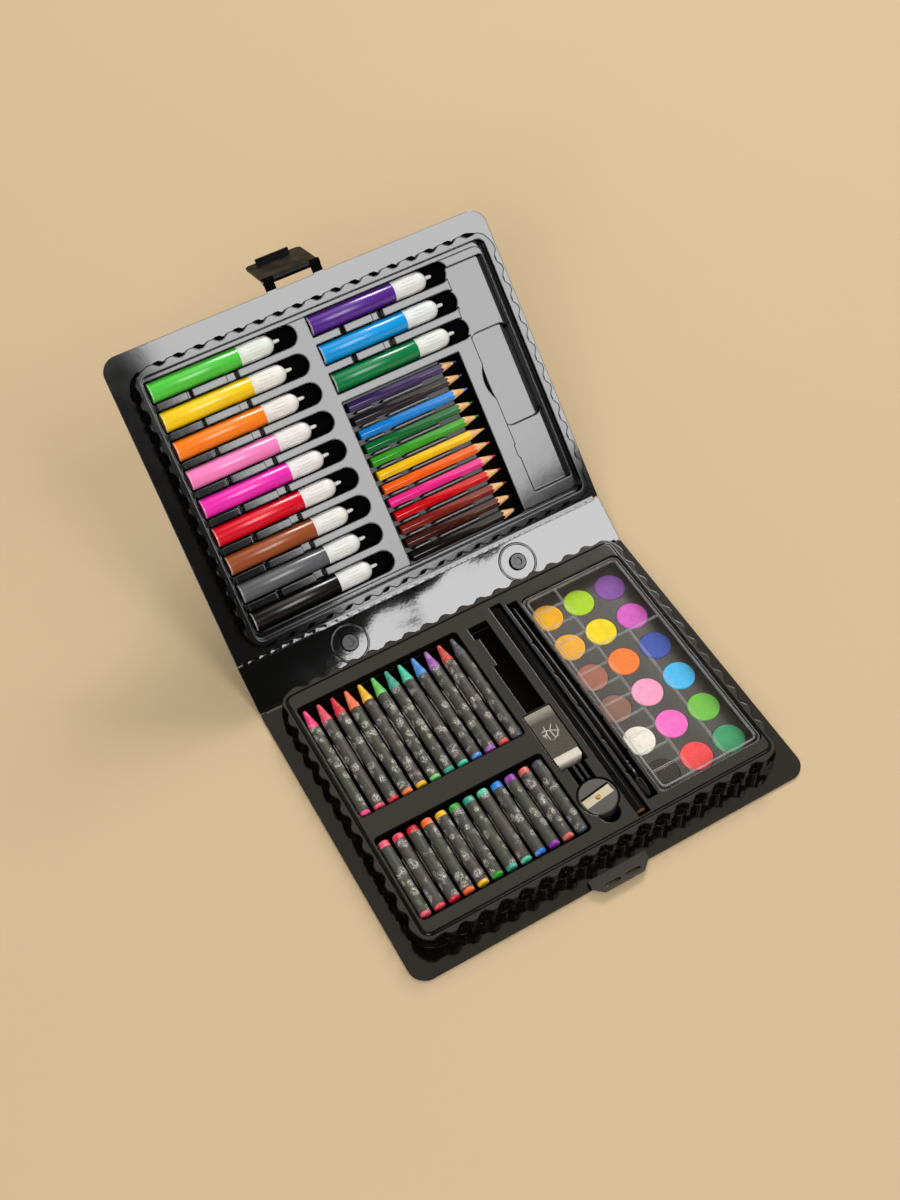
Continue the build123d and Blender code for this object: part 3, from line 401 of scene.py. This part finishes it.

# Gloss stays off the lid board's tabs, the marker pockets' floors, the pencils' floor with the step between
# the tiers, the lid tray's walls and the base tray's pocket floors, which are black in the photograph. The
# narrow island tops between the pencils and the base tray's side walls keep theirs.
# Painted shade: with their gloss taken off, these floors, gaps, walls and rounded edges render black, as if
# in shade; the base tray's walls get twice the gloss.
TABS_FROM = 231 * MM
MARKER_FLOOR_UNDER = 3.9 * MM
PENCIL_FLOOR = (7.7 * MM, 8.3 * MM)
ISLAND_TOPS = (12.9 * MM, 13.2 * MM)
BASE_FLOORS_UNDER = 4.8 * MM
BASE_SIDES_UNDER = 3 * MM
lid_level = fold_two.dot(lid_normal)
base_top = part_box("base_tray")[1][2]
gloss_limits(LID_BOARD, past=(lid_along, fold_two.dot(lid_along) + TABS_FROM))
gloss_limits(LID_TRAY, past=(-lid_normal, -lid_level - MARKER_FLOOR_UNDER),
             band=(lid_normal, *(lid_level + height for height in PENCIL_FLOOR)),
             wall=(lid_normal, 0.85, 0.985, 0.03), edges=True,
             kept=(lid_normal, *(lid_level + height for height in ISLAND_TOPS)))
gloss_limits(BASE_TRAY, floors=(UP, base_top - BASE_FLOORS_UNDER), wall=(UP, 0.3, 0.8, 2.0), edges=True,
             kept=(UP, -1 * MM, base_top - BASE_SIDES_UNDER))


def paint_node(name, shader):
    """Gives a CAD node that stays its material."""
    o = nodes[name]
    o.data.materials.clear()
    o.data.materials.append(shader.mat)


for node_name, shader in {
        "base_board": BASE_BOARD, "lid_board": LID_BOARD, "spine_panel": SPINE_SHEET, "base_tray": BASE_TRAY,
        "lid_tray": LID_TRAY, "base_catch": MOULDED, "carry_handle": MOULDED, "handle_rivets": MOULDED,
        "clasp_hasp": HASP, "paint_tray": WELLS,
        "clasp_pin": metal("pin_steel", srgb(150, 150, 152), rough=0.3),
        "sharpener_blade": metal("blade_steel", srgb(168, 160, 142), rough=0.38, streak=(0.1, 1, 1)),
        "sharpener_screw": metal("screw_brass", srgb(176, 140, 78), rough=0.3),
        "sharpener_body": plastic("sharpener_plastic", srgb(52, 48, 45), rough=0.45),
        "long_pencil_lead": metal("graphite", srgb(70, 70, 74), rough=0.45)}.items():
    paint_node(node_name, shader)


# Mesh helpers
def finish_mesh(name, bm, shaders, body, matrix=None, sharp=40.0, replaces=()):
    """An object from bm, moved by matrix, smooth but for sharp edges, riding on its body if it has one."""
    if matrix is not None:
        bm.transform(matrix)
    bmesh.ops.recalc_face_normals(bm, faces=bm.faces)
    limit = math.radians(sharp)
    for f in bm.faces:
        f.smooth = True
    for e in bm.edges:
        if len(e.link_faces) == 2 and e.calc_face_angle(0) > limit:
            e.smooth = False
    mesh = bpy.data.meshes.new(name)
    bm.to_mesh(mesh)
    bm.free()
    for shader in shaders:
        mesh.materials.append(shader.mat)
    o = bpy.data.objects.new(name, mesh)
    bpy.context.scene.collection.objects.link(o)
    if body:
        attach(o, body)
    if replaces:
        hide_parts(*replaces)
    return o


def rings_mesh(bm, rings, bands=None):
    """Joins equal rings of points by quads and caps the ends; bands holds each band's material index."""
    bands = bands or [0] * len(rings)
    loops = [[bm.verts.new(p) for p in ring] for ring in rings]
    count = len(loops[0])
    for loop, after, index in zip(loops, loops[1:], bands):
        for i in range(count):
            j = (i + 1) % count
            bm.faces.new((loop[i], loop[j], after[j], after[i])).material_index = index
    bm.faces.new(loops[0]).material_index = bands[0]
    bm.faces.new(loops[-1]).material_index = bands[-1]


def circle(x, radius, segments, share=lambda a: 1.0):
    """A ring about X, in millimetres; share(angle) scales its radius."""
    ring = []
    for i in range(segments):
        a = 2 * math.pi * i / segments
        r = radius * share(a)
        ring.append((x * MM, r * MM * math.cos(a), r * MM * math.sin(a)))
    return ring


def lathe(profile, segments, bands=None):
    """Rings about X from (length, radius) pairs, in millimetres."""
    bm = bmesh.new()
    rings_mesh(bm, [circle(x, r, segments) for x, r in profile], bands)
    return bm


# Markers
MARKER_COLORS = {
    "light_green": srgb(76, 196, 62), "yellow": srgb(246, 205, 20), "orange": srgb(255, 128, 20),
    "pink": srgb(255, 130, 194), "magenta": srgb(238, 40, 178), "red": srgb(214, 0, 34),
    "brown": srgb(150, 76, 38), "grey": srgb(92, 94, 98), "black": srgb(16, 15, 15),
    "purple": srgb(84, 36, 140), "blue": srgb(0, 150, 222), "dark_green": srgb(0, 122, 68)}
BARREL_END = plastic("marker_end_rim", srgb(196, 196, 192), rough=0.3)
# Painted glow: the barrel's end rim is mixed towards this pale colour, standing in for light through its
# translucent edge.
RIM_GLOW = srgb(235, 232, 226)
CAP_NUB = 5.0
CAP_WALL = 1.3
CAP_RIBS = 16
RIB_DEPTH = 0.075


def marker_barrel(r, body_length):
    """A plugged flat end with a thin rim, a straight body, and the neck and tip that the cap hides."""
    end = body_length
    neck = r - 1.6
    profile = [(0.9, 0.01), (0.9, r - 1.5), (0.0, r - 1.2), (0.0, r - 0.7), (0.25, r - 0.2), (0.9, r),
               (end - 0.25, r), (end, r - 0.2), (end, neck), (end + 9, neck), (end + 12, 3.0),
               (end + 12, 2.0), (end + 18, 2.0), (end + 19, 1.0), (end + 19, 0.01)]
    return lathe(profile, 64, [0, 0, 1, 2, 2] + [0] * 9)


def marker_cap(r, length):
    """An open cap: a wall, a ribbed middle, a domed shoulder and a small nub."""
    dome = length - CAP_NUB
    inner = [(dome - 2.4, r - 3.6), (dome - 5.5, r - CAP_WALL), (0.05, r - CAP_WALL)]
    mouth = [(0.0, r - 1.2), (0.0, r - 0.15), (0.3, r), (3.4, r), (4.0, r)]
    ribbed = [(4.0 + 1.5 * k, r) for k in range(1, 9)] + [(17.0, r)]
    shoulder = [(dome - 6.6, r), (dome - 5.0, r - 0.25), (dome - 3.6, r - 0.8), (dome - 2.3, r - 1.7),
                (dome - 1.3, r - 2.8), (dome - 0.6, r - 3.9)]
    nub = [(dome - 0.1, 2.0), (dome + 0.3, 1.5), (length - 1.4, 1.25), (length - 0.4, 1.0), (length, 0.4)]
    depths = [0] * len(inner + mouth) + [0.4] + [1] * 7 + [0.4] + [0] * len(shoulder + nub)
    rings = []
    for (x, radius), depth in zip(inner + mouth + ribbed + shoulder + nub, depths):
        rings.append(circle(x, radius, 160, lambda a, depth=depth:
                            1.0 - RIB_DEPTH * depth * max(0.0, math.cos(CAP_RIBS * a)) ** 2.5))
    bm = bmesh.new()
    rings_mesh(bm, rings)
    return bm


def make_marker(name, color):
    low, high = local_box("marker_" + name, LID)
    cap_low, cap_high = local_box("marker_cap_" + name, LID)
    y = (low[1] + high[1]) / 2
    z = (low[2] + high[2]) / 2
    r = (high[1] - low[1]) / 2
    barrel_shaders = [plastic("marker_" + name, color, rough=0.26, grain=0.008), BARREL_END,
                      plastic("marker_rim_" + name, blended(color, RIM_GLOW, 0.35), rough=0.25)]
    finish_mesh("barrel_" + name, marker_barrel(r, cap_low[0] - low[0]), barrel_shaders,
                "marker_%s_body" % name, spot(LID, low[0], y, z), replaces=["marker_" + name])
    finish_mesh("cap_" + name, marker_cap(r, cap_high[0] - cap_low[0]), [cap_plastic("cap_" + name, color)],
                "marker_%s_cap" % name, spot(LID, cap_low[0], y, z), replaces=["marker_cap_" + name])


for marker_name, marker_color in MARKER_COLORS.items():
    make_marker(marker_name, marker_color)

# Colour pencils
PENCIL_COLORS = {
    "purple": srgb(50, 34, 92), "navy": srgb(28, 24, 36), "blue": srgb(0, 128, 216),
    "green": srgb(0, 104, 50), "leaf": srgb(52, 158, 34), "yellow": srgb(250, 196, 10),
    "orange": srgb(250, 98, 10), "pink": srgb(240, 36, 140), "red": srgb(208, 0, 18),
    "russet": srgb(128, 32, 22), "brown": srgb(64, 24, 18), "black": srgb(18, 17, 16)}
LEAD_COLORS = {"purple": srgb(70, 40, 150), "navy": srgb(40, 50, 120), "russet": srgb(150, 60, 40)}
CONE_WOOD = bare_wood("pencil_cone_wood", srgb(240, 196, 140), srgb(206, 150, 96))
PENCIL_CONE = 13.5
PENCIL_LEAD = 1.15
HEX_ROUNDING = 0.42
TIP_RADIUS = 0.25


def hex_radius(angle, flat):
    """The distance to a hexagon's side with flats across Z, its corners rounded."""
    sector = (angle - math.pi / 6 + math.pi * 2) % (math.pi / 3) - math.pi / 6
    return min(flat / max(math.cos(abs(sector)), 0.5), flat + HEX_ROUNDING)


def hex_pencil(length, across, cone, lead):
    """Hexagonal lacquered bar with a cut cone; materials 0 lacquer, 1 wood, 2 lead, 3 end."""
    segments = 72
    flat = across / 2
    angles = [2 * math.pi * i / segments for i in range(segments)]
    radii = [hex_radius(a + math.pi / 3, flat) for a in angles]
    slope = cone / (flat + HEX_ROUNDING - TIP_RADIUS)
    starts = [length - (r - TIP_RADIUS) * slope for r in radii]

    def ring(xs, rs):
        return [(x * MM, r * MM * math.cos(a), r * MM * math.sin(a)) for x, r, a in zip(xs, rs, angles)]

    def level_ring(x, r):
        return ring([x] * segments, [r] * segments)
    rings = [level_ring(0.0, lead * 0.5), ring([0.0] * segments, [r - 0.35 for r in radii]),
             ring([0.3] * segments, radii), ring([s - 0.15 for s in starts], radii),
             ring(starts, [r - 0.02 for r in radii])]
    for share in (0.3, 0.6):
        rings.append(ring([s + (length - s) * share * 0.8 for s in starts],
                          [r + (TIP_RADIUS - r) * share * 0.8 for r in radii]))
    rings += [level_ring(length - (lead - TIP_RADIUS) * slope, lead),
              level_ring(length - 0.3, TIP_RADIUS + 0.12), level_ring(length, 0.1)]
    bm = bmesh.new()
    rings_mesh(bm, rings, [3, 3, 0, 0, 1, 1, 1, 2, 2])
    return bm


def make_pencils():
    low, high = local_box("colour_pencils", LID)
    across = high[2] - low[2]
    first = high[1] - across / math.sqrt(3)
    step = (high[1] - low[1] - across * 2 / math.sqrt(3)) / (len(PENCIL_COLORS) - 1)
    for k, (name, color) in enumerate(PENCIL_COLORS.items()):
        shaders = [lacquer("pencil_lacquer_" + name, color), CONE_WOOD,
                   wax("pencil_core_" + name, LEAD_COLORS.get(name, color)),
                   bare_wood("pencil_end_" + name, scaled(color, 0.8), scaled(color, 0.5))]
        bm = hex_pencil(high[0] - low[0], across, PENCIL_CONE, PENCIL_LEAD)
        place = spot(LID, low[0], first - k * step, (low[2] + high[2]) / 2)
        finish_mesh("pencil_%02d_%s" % (k + 1, name), bm, shaders, "pencil_set", place, sharp=50,
                    replaces=["colour_pencils"])


make_pencils()

# Crayons and pastels
CRAYON_COLORS = {
    "rose": srgb(238, 62, 128), "pink": srgb(226, 82, 100), "red": srgb(214, 44, 62),
    "coral": srgb(248, 116, 66), "yellow": srgb(236, 184, 34), "green": srgb(104, 198, 96),
    "teal": srgb(58, 160, 138), "mint": srgb(66, 196, 160), "blue": srgb(70, 140, 214),
    "purple": srgb(160, 92, 178), "brick": srgb(206, 76, 64), "slate": srgb(74, 80, 88)}
PASTEL_COLORS = {
    "rose": srgb(236, 88, 116), "pink": srgb(222, 52, 78), "red": srgb(206, 28, 48),
    "coral": srgb(250, 108, 50), "yellow": srgb(236, 186, 20), "green": srgb(30, 160, 40),
    "teal": srgb(56, 158, 138), "mint": srgb(72, 196, 160), "blue": srgb(26, 128, 222),
    "purple": srgb(134, 44, 160), "brick": srgb(212, 96, 92), "slate": srgb(64, 72, 78)}
WRAP_TONES = [srgb(70, 70, 65), srgb(70, 72, 62), srgb(75, 69, 66)]
WRAP_THICKNESS = 0.22
CRAYON_TIP = 13.0
STICK_SEED = 7


def stick_profile(r, length, wrap_from, wrap_to, tapered):
    """A stick's profile and the materials of its bands: 0 wax, 1 its raised paper wrap."""
    bare = r - WRAP_THICKNESS
    waist = [(wrap_from + (wrap_to - wrap_from) * t, r - 0.03 * math.sin(math.pi * t))
             for t in (0.25, 0.5, 0.75)]
    foot = [(0.0, 0.02), (0.0, bare - 0.6), (0.2, bare - 0.15), (0.7, bare)]
    wrap = [(wrap_from, bare), (wrap_from, r - 0.04), (wrap_from + 0.15, r), *waist,
            (wrap_to - 0.15, r), (wrap_to, r - 0.04), (wrap_to, bare)]
    if tapered:
        shoulder = length - CRAYON_TIP
        tip = [(shoulder, bare), (shoulder + 0.5, bare - 0.3), (length - 1.2, 1.45), (length - 0.4, 1.2),
               (length - 0.05, 0.8), (length, 0.02)]
    else:
        tip = [(length - 0.9, bare), (length - 0.25, bare - 0.25), (length, bare - 0.8), (length, 0.02)]
    return foot + wrap + tip, [0] * 4 + [1] * 7 + [0] * (len(tip) + 2)


def stick_row(node, body, colors, kind, wrap_from, bare_end, tapered=False):
    low, high = local_box(node, BASE)
    r = (high[2] - low[2]) / 2
    length = high[1] - low[1]
    step = (high[0] - low[0] - 2 * r) / (len(colors) - 1)
    rng = random.Random(STICK_SEED)
    for k, (name, color) in enumerate(colors.items()):
        start = wrap_from + rng.uniform(-0.4, 0.4)
        end = length - bare_end + rng.uniform(-0.5, 0.5)
        profile, bands = stick_profile(r, length, start, end, tapered)
        seed = k + STICK_SEED
        shaders = [wax("%s_wax_%s" % (kind, name), color),
                   wrap_paper("%s_wrap_%s" % (kind, name), WRAP_TONES[seed % 3], seed)]
        place = spot(BASE, low[0] + r + k * step, low[1], (low[2] + high[2]) / 2, 90)
        place = place @ Matrix.Rotation(rng.uniform(0, 6.28), 4, "X")
        finish_mesh("%s_%02d_%s" % (kind, k + 1, name), lathe(profile, 48, bands), shaders, body, place,
                    sharp=50, replaces=[node])


stick_row("crayons", "crayon_set", CRAYON_COLORS, "crayon", wrap_from=2.6, bare_end=16.5,
          tapered=True)
stick_row("pastels", "pastel_set", PASTEL_COLORS, "pastel", wrap_from=2.2, bare_end=4.6)

# Paint cakes: each column's slot, and its colours from back to front
CAKES = {
    "left": ("paint_warm", [srgb(255, 172, 40), srgb(244, 172, 66), srgb(164, 108, 92),
                            srgb(140, 106, 92), srgb(236, 228, 216), srgb(62, 57, 54)]),
    "middle": ("paint_bright", [srgb(166, 204, 50), srgb(255, 208, 36), srgb(255, 126, 60),
                                srgb(255, 158, 190), srgb(255, 110, 190), srgb(236, 80, 82)]),
    "right": ("paint_cool", [srgb(130, 84, 156), srgb(204, 96, 188), srgb(70, 90, 170),
                             srgb(78, 182, 236), srgb(112, 184, 74), srgb(70, 152, 106)])}


def make_cakes():
    for column, (slot, colors) in CAKES.items():
        node = "paint_cakes_" + column
        low, high = local_box(node, BASE)
        r = (high[0] - low[0]) / 2
        top = high[2] - low[2]
        step = (high[1] - low[1] - 2 * r) / (len(colors) - 1)
        profile = [(0.0, 0.02), (0.0, r - 0.3), (0.3, r), (top - 0.7, r), (top - 0.3, r - 0.12),
                   (top - 0.08, r - 0.5), (top, r - 1.0), (top, r - 1.6), (top - 0.25, r - 2.6),
                   (top - 0.3, r * 0.5), (top - 0.3, 0.02)]
        for k, color in enumerate(colors):
            place = spot(BASE, (low[0] + high[0]) / 2, high[1] - r - k * step, low[2])
            place = place @ Matrix.Rotation(math.radians(-90), 4, "Y")
            cake = powder("paint_%s_%d" % (column, k + 1), color)
            finish_mesh("cake_%s_%d" % (column, k + 1), lathe(profile, 72), [cake], "paint_box", place,
                        replaces=[node])


make_cakes()


# Clear cover and eraser
def sleeve_film():
    """Smoky film, paler at its far end, with a few printed strokes near its middle."""
    smoke = srgb(58, 53, 46)
    # Painted highlight and shade: pale edges and darker walls, as in clear_film.
    s = clear_film("sleeve_film", smoke, alpha=0.66, edge_highlight_tint=srgb(190, 188, 182), edge_alpha=0.85, ior=1.8)
    low, high = local_box("eraser_sleeve", BASE)
    middle = BASE @ Vector([(a + b) / 2 * MM for a, b in zip(low, high)])
    far_end = (BASE @ Vector((0, high[1] * MM, 0))).y
    strokes = s.node("ShaderNodeTexVoronoi", Vector=s.coords, Scale=190)
    strokes.feature = "DISTANCE_TO_EDGE"
    from_middle = s.vector_math("DISTANCE", s.coords, middle)
    printed = s.math("MULTIPLY", s.span(strokes.outputs["Distance"], 0.03, 0.09, 1.0, 0.0),
                     s.span(from_middle, 0.0075, 0.009, 0.9, 0.0))
    along = s.node("ShaderNodeSeparateXYZ", Vector=s.coords).outputs["Y"]
    tone = s.mix(s.span(along, far_end - 0.009, far_end - 0.002, 0.0, 0.75), smoke, srgb(180, 175, 160))
    s.set("Base Color", s.mix(printed, tone, srgb(224, 220, 210)))
    return s


def rubber():
    s = Shader("eraser_rubber", srgb(200, 193, 180), rough=0.6, specular=0.3)
    s.set("Base Color", s.mix(s.noise(180, 4), srgb(192, 184, 171), srgb(206, 200, 188)))
    s.soften(0.0006)
    return s


# Painted highlight: the cover's edges are tinted near white.
COVER_FILM = clear_film("cover_film", srgb(30, 30, 30), alpha=0.035, edge_highlight_tint=srgb(232, 234, 236),
                        edge_alpha=0.9, ior=2.2)
paint_node("paint_cover", COVER_FILM)
paint_node("eraser_sleeve", sleeve_film())
paint_node("eraser_block", rubber())

# Long pencil and brush
BLACK_LACQUER = lacquer("black_lacquer", srgb(18, 17, 16), rough=0.3, coat=0.0)
END_WOOD = bare_wood("pencil_end_wood", srgb(150, 104, 70), srgb(110, 74, 50))
TUFT_HAIRS = 90
TUFT_SEED = 5


def make_long_pencil():
    low, high = local_box("long_pencil", BASE)
    bm = hex_pencil(high[1] - low[1], high[2] - low[2], cone=1.2, lead=3.2)
    place = spot(BASE, (low[0] + high[0]) / 2, high[1], (low[2] + high[2]) / 2, -90)
    finish_mesh("long_pencil_dressed", bm, [BLACK_LACQUER, END_WOOD, END_WOOD, END_WOOD], "graphite_pencil",
                place, sharp=50, replaces=["long_pencil"])


def brush_hair():
    s = Shader("brush_hair", srgb(24, 22, 20), rough=0.45)
    s.bump(s.noise(2500, 3, stretch=(1, 0.04, 1)), 0.8, 0.0004)
    s.set("Base Color", s.mix(s.noise(1800, 3, stretch=(1, 0.05, 1)), srgb(14, 13, 12), srgb(46, 40, 36)))
    return s


def handle_mesh(length, r):
    profile = [(0, 0.02), (0, 2.2), (1, 2.4), (length * 0.1, r * 0.9), (length * 0.2, r),
               (length * 0.35, r * 0.97), (length * 0.6, r * 0.78), (length * 0.85, r * 0.55),
               (length - 2, 1.4), (length - 0.5, 1.1), (length, 0.4)]
    return lathe(profile, 48)


def ferrule_mesh(length, r):
    """A metal tube with three pressed grooves."""
    profile = [(0, r * 0.8), (0.2, r * 0.86), (3.6, r * 0.97), (4.2, r)]
    for at in (9.0, 11.5, length - 2.5):
        profile += [(at - 0.5, r), (at - 0.2, r - 0.25), (at + 0.2, r - 0.25), (at + 0.5, r)]
    return lathe(profile + [(length - 0.2, r), (length, r - 0.3)], 48)


def tuft_mesh(length, r):
    """Hair that widens from its tip to its root inside the ferrule, split into fine locks."""
    rng = random.Random(TUFT_SEED)
    rings = []
    shape = [(0.0, 0.12), (1.2, 0.42), (3.0, 0.7), (5.5, 0.92), (8.5, 1.0), (length - 2, 0.98),
             (length + 1, 0.9)]
    for x, share in shape:
        ring = []
        for i in range(TUFT_HAIRS):
            a = 2 * math.pi * i / TUFT_HAIRS
            q = r * 0.86 * share * (1 + (0.06 if i % 2 else -0.03) + rng.uniform(-0.02, 0.02))
            ring.append((x * MM, q * MM * math.cos(a), q * MM * math.sin(a)))
        rings.append(ring)
    bm = bmesh.new()
    rings_mesh(bm, rings)
    return bm


def make_brush():
    handle = local_box("brush_handle", BASE)
    x = (handle[0][0] + handle[1][0]) / 2
    z = (handle[0][2] + handle[1][2]) / 2
    handle_r = (handle[1][2] - handle[0][2]) / 2
    finish_mesh("brush_handle_dressed", handle_mesh(handle[1][1] - handle[0][1], handle_r), [BLACK_LACQUER],
                "brush", spot(BASE, x, handle[0][1], z, 90), replaces=["brush_handle"])
    ferrule = local_box("brush_ferrule", BASE)
    ferrule_r = (ferrule[1][2] - ferrule[0][2]) / 2
    finish_mesh("brush_ferrule_dressed", ferrule_mesh(ferrule[1][1] - ferrule[0][1], ferrule_r),
                [metal("ferrule_metal", srgb(60, 60, 62), rough=0.25)], "brush",
                spot(BASE, x, ferrule[0][1], z, 90), replaces=["brush_ferrule"])
    tuft = local_box("brush_tuft", BASE)
    finish_mesh("brush_tuft_dressed", tuft_mesh(tuft[1][1] - tuft[0][1], ferrule_r), [brush_hair()], "brush",
                spot(BASE, x, tuft[0][1], z, 90), replaces=["brush_tuft"])


make_long_pencil()
make_brush()


# Fold strips
def fold_strip(name, origin, before, after):
    """A thin skin across a fold line, with a row of small raised dashes, bent to meet its two panels."""
    half = 2.0 * MM
    steps = 12
    half_length = 146 * MM
    columns = 240
    dash_spacing = 9.0 * MM
    across = [-half + 2 * half * i / steps for i in range(steps + 1)]
    outline = [(t, True) for t in across] + [(t, False) for t in reversed(across)]
    normals = [Vector((0, -d.z, d.y)) for d in (before, after)]
    rings = []
    for c in range(columns + 1):
        x = -half_length + 2 * half_length * c / columns
        dash = max(0.0, math.sin(2 * math.pi * x / dash_spacing)) ** 2
        ring = []
        for t, on_top in outline:
            direction, normal = (before, normals[0]) if t < 0 else (after, normals[1])
            share = math.cos(math.pi * t / half / 2)
            lift = (0.05 + 0.03 * share + 0.07 * dash * share ** 8) * MM if on_top else -0.1 * MM
            ring.append(origin + Vector((x, 0, 0)) + direction * t + normal * lift)
        rings.append(ring)
    bm = bmesh.new()
    rings_mesh(bm, rings)
    strip = finish_mesh(name, bm, [SPINE_SHEET], None)
    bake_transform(strip)


fold_strip("fold_skin_base", fold_one, BACK, spine_along)
fold_strip("fold_skin_lid", fold_two, spine_along, lid_along)

# Camera, fitted to the photograph: its place, its axes and its focal length in pixels of the frame's height
EYE = Vector((-0.26969, -0.4548, 0.90683))
VIEW_RIGHT = Vector((0.87082324, -0.4894451, -0.04593887))
VIEW_DOWN = Vector((-0.42137994, -0.69504479, -0.582539))
VIEW_FORWARD = Vector((0.25319129, 0.52664622, -0.8115035))
FOCAL_PIXELS = 1515.8
FRAME_HEIGHT = 1200
SENSOR = 36


def add_object(name, data, matrix=None):
    o = bpy.data.objects.new(name, data)
    if matrix is not None:
        o.matrix_world = matrix
    bpy.context.scene.collection.objects.link(o)
    return o


camera = bpy.data.cameras.new("camera")
camera.sensor_width = SENSOR
camera.lens = FOCAL_PIXELS * SENSOR / FRAME_HEIGHT
camera.clip_start = 0.01
camera_place = frame_matrix(VIEW_RIGHT, -VIEW_DOWN, -VIEW_FORWARD, EYE)
bpy.context.scene.camera = add_object("camera", camera, camera_place)


# Lamps
SOFTBOX_DISTANCE = 6.0


def softbox(name, matrix, width, height, radiance, color=(1, 1, 1)):
    light = bpy.data.lights.new(name, "AREA")
    light.shape = "RECTANGLE"
    light.size = width
    light.size_y = height
    light.energy = radiance * math.pi * width * height
    light.color = color
    add_object(name, light, matrix)


def aimed(at, target):
    turn = (Vector(target) - Vector(at)).to_track_quat("-Z", "Y").to_matrix().to_4x4()
    return Matrix.Translation(at) @ turn


def seen_in(point, normal):
    """Where the camera's ray mirrored in a glossy panel ends, as far from it as the softboxes hang."""
    ray = (point - EYE).normalized()
    return point + (ray - 2 * ray.dot(normal) * normal) * SOFTBOX_DISTANCE


def edged_softbox(name, panel, corner, along, lit, normal, width, height, radiance):
    """A softbox whose reflection in a panel has its corner at corner and an edge towards along, and covers
    lit."""
    corner = panel @ Vector(corner)
    a = seen_in(corner, normal)
    b = seen_in(panel @ Vector(along), normal)
    back = (a - corner).normalized()
    up = (b - a).normalized()
    up = (up - up.dot(back) * back).normalized()
    side = up.cross(back)
    if side.dot(seen_in(panel @ Vector(lit), normal) - a) < 0:
        side = -side
    at = a + up * height / 2 + side * width / 2
    softbox(name, frame_matrix(up.cross(back), up, back, at), width, height, radiance)


edged_softbox("key", LID, corner=(-0.06, -0.01, 0.015), along=(-0.118, 0.2, 0.015), lit=(0.1, 0.1, 0.015),
              normal=lid_normal, width=2.1, height=2.1, radiance=5.6)
edged_softbox("swoosh", SPINE, corner=(-0.11, 0.0, 0.0), along=(0.05, 0.037, 0.0), lit=(0.1, 0.01, 0.0),
              normal=spine_normal, width=0.55, height=2.2, radiance=7.2)
softbox("ceiling", aimed((1.05, 1.4, 3.5), (0, -0.1, 0)), width=2.8, height=2.8, radiance=1.1,
        color=(1.0, 0.9, 0.76))
softbox("front", aimed((-2.0, -2.4, 2.5), (0, 0.05, 0.05)), width=1.6, height=1.6, radiance=9.0)
softbox("sun", aimed((2.2, 2.2, 2.55), (0, 0, 0)), width=1.1, height=1.1, radiance=24.0)

# Floor and world
BACKDROP = srgb(218, 194, 156)
FLOOR_HALF = 9


def paper_floor():
    """Paper that far from the object shows its plain colour to the camera and in reflections."""
    s = Shader("floor_paper", srgb(219, 194, 157), rough=0.9, specular=0.1)
    s.set("Base Color", s.mix(s.noise(3), srgb(195, 173, 139), srgb(198, 176, 142)))
    plain = s.node("ShaderNodeEmission", Color=BACKDROP, Strength=1.0)
    rays = s.node("ShaderNodeLightPath").outputs
    seen = s.math("MAXIMUM", rays["Is Camera Ray"], rays["Is Glossy Ray"])
    far = s.math("MULTIPLY", seen, s.span(s.vector_math("LENGTH", s.coords), 0.6, 1.6, 0.0, 1.0))
    both = s.node("ShaderNodeMixShader", Fac=far)
    s.feed(both.inputs[1], s.bsdf.outputs[0])
    s.feed(both.inputs[2], plain.outputs[0])
    s.feed(s.tree.nodes["Material Output"].inputs["Surface"], both.outputs[0])
    return s


def studio_world():
    """The backdrop's colour to the camera, a dim studio to glossy rays and a soft fill for the rest."""
    world = bpy.data.worlds.new("studio")
    world.use_nodes = True
    s = Nodes(world.node_tree)
    rays = s.node("ShaderNodeLightPath").outputs
    back = world.node_tree.nodes["Background"].inputs
    fill = s.span(rays["Is Glossy Ray"], 0.0, 1.0, 0.32, 0.04)
    s.feed(back["Strength"], s.math("MAXIMUM", rays["Is Camera Ray"], fill))
    s.feed(back["Color"], s.mix(rays["Is Camera Ray"], srgb(240, 234, 226), BACKDROP))
    return world


floor_mesh = bpy.data.meshes.new("floor")
corners = [(x * FLOOR_HALF, y * FLOOR_HALF, 0) for x, y in ((-1, -1), (1, -1), (1, 1), (-1, 1))]
floor_mesh.from_pydata(corners, [], [(0, 1, 2, 3)])
floor_mesh.materials.append(paper_floor().mat)
floor = add_object("floor", floor_mesh)
floor.location.z = -0.2 * MM
bpy.context.scene.world = studio_world()
bpy.context.scene.view_settings.view_transform = "Standard"

bpy.context.view_layer.update()
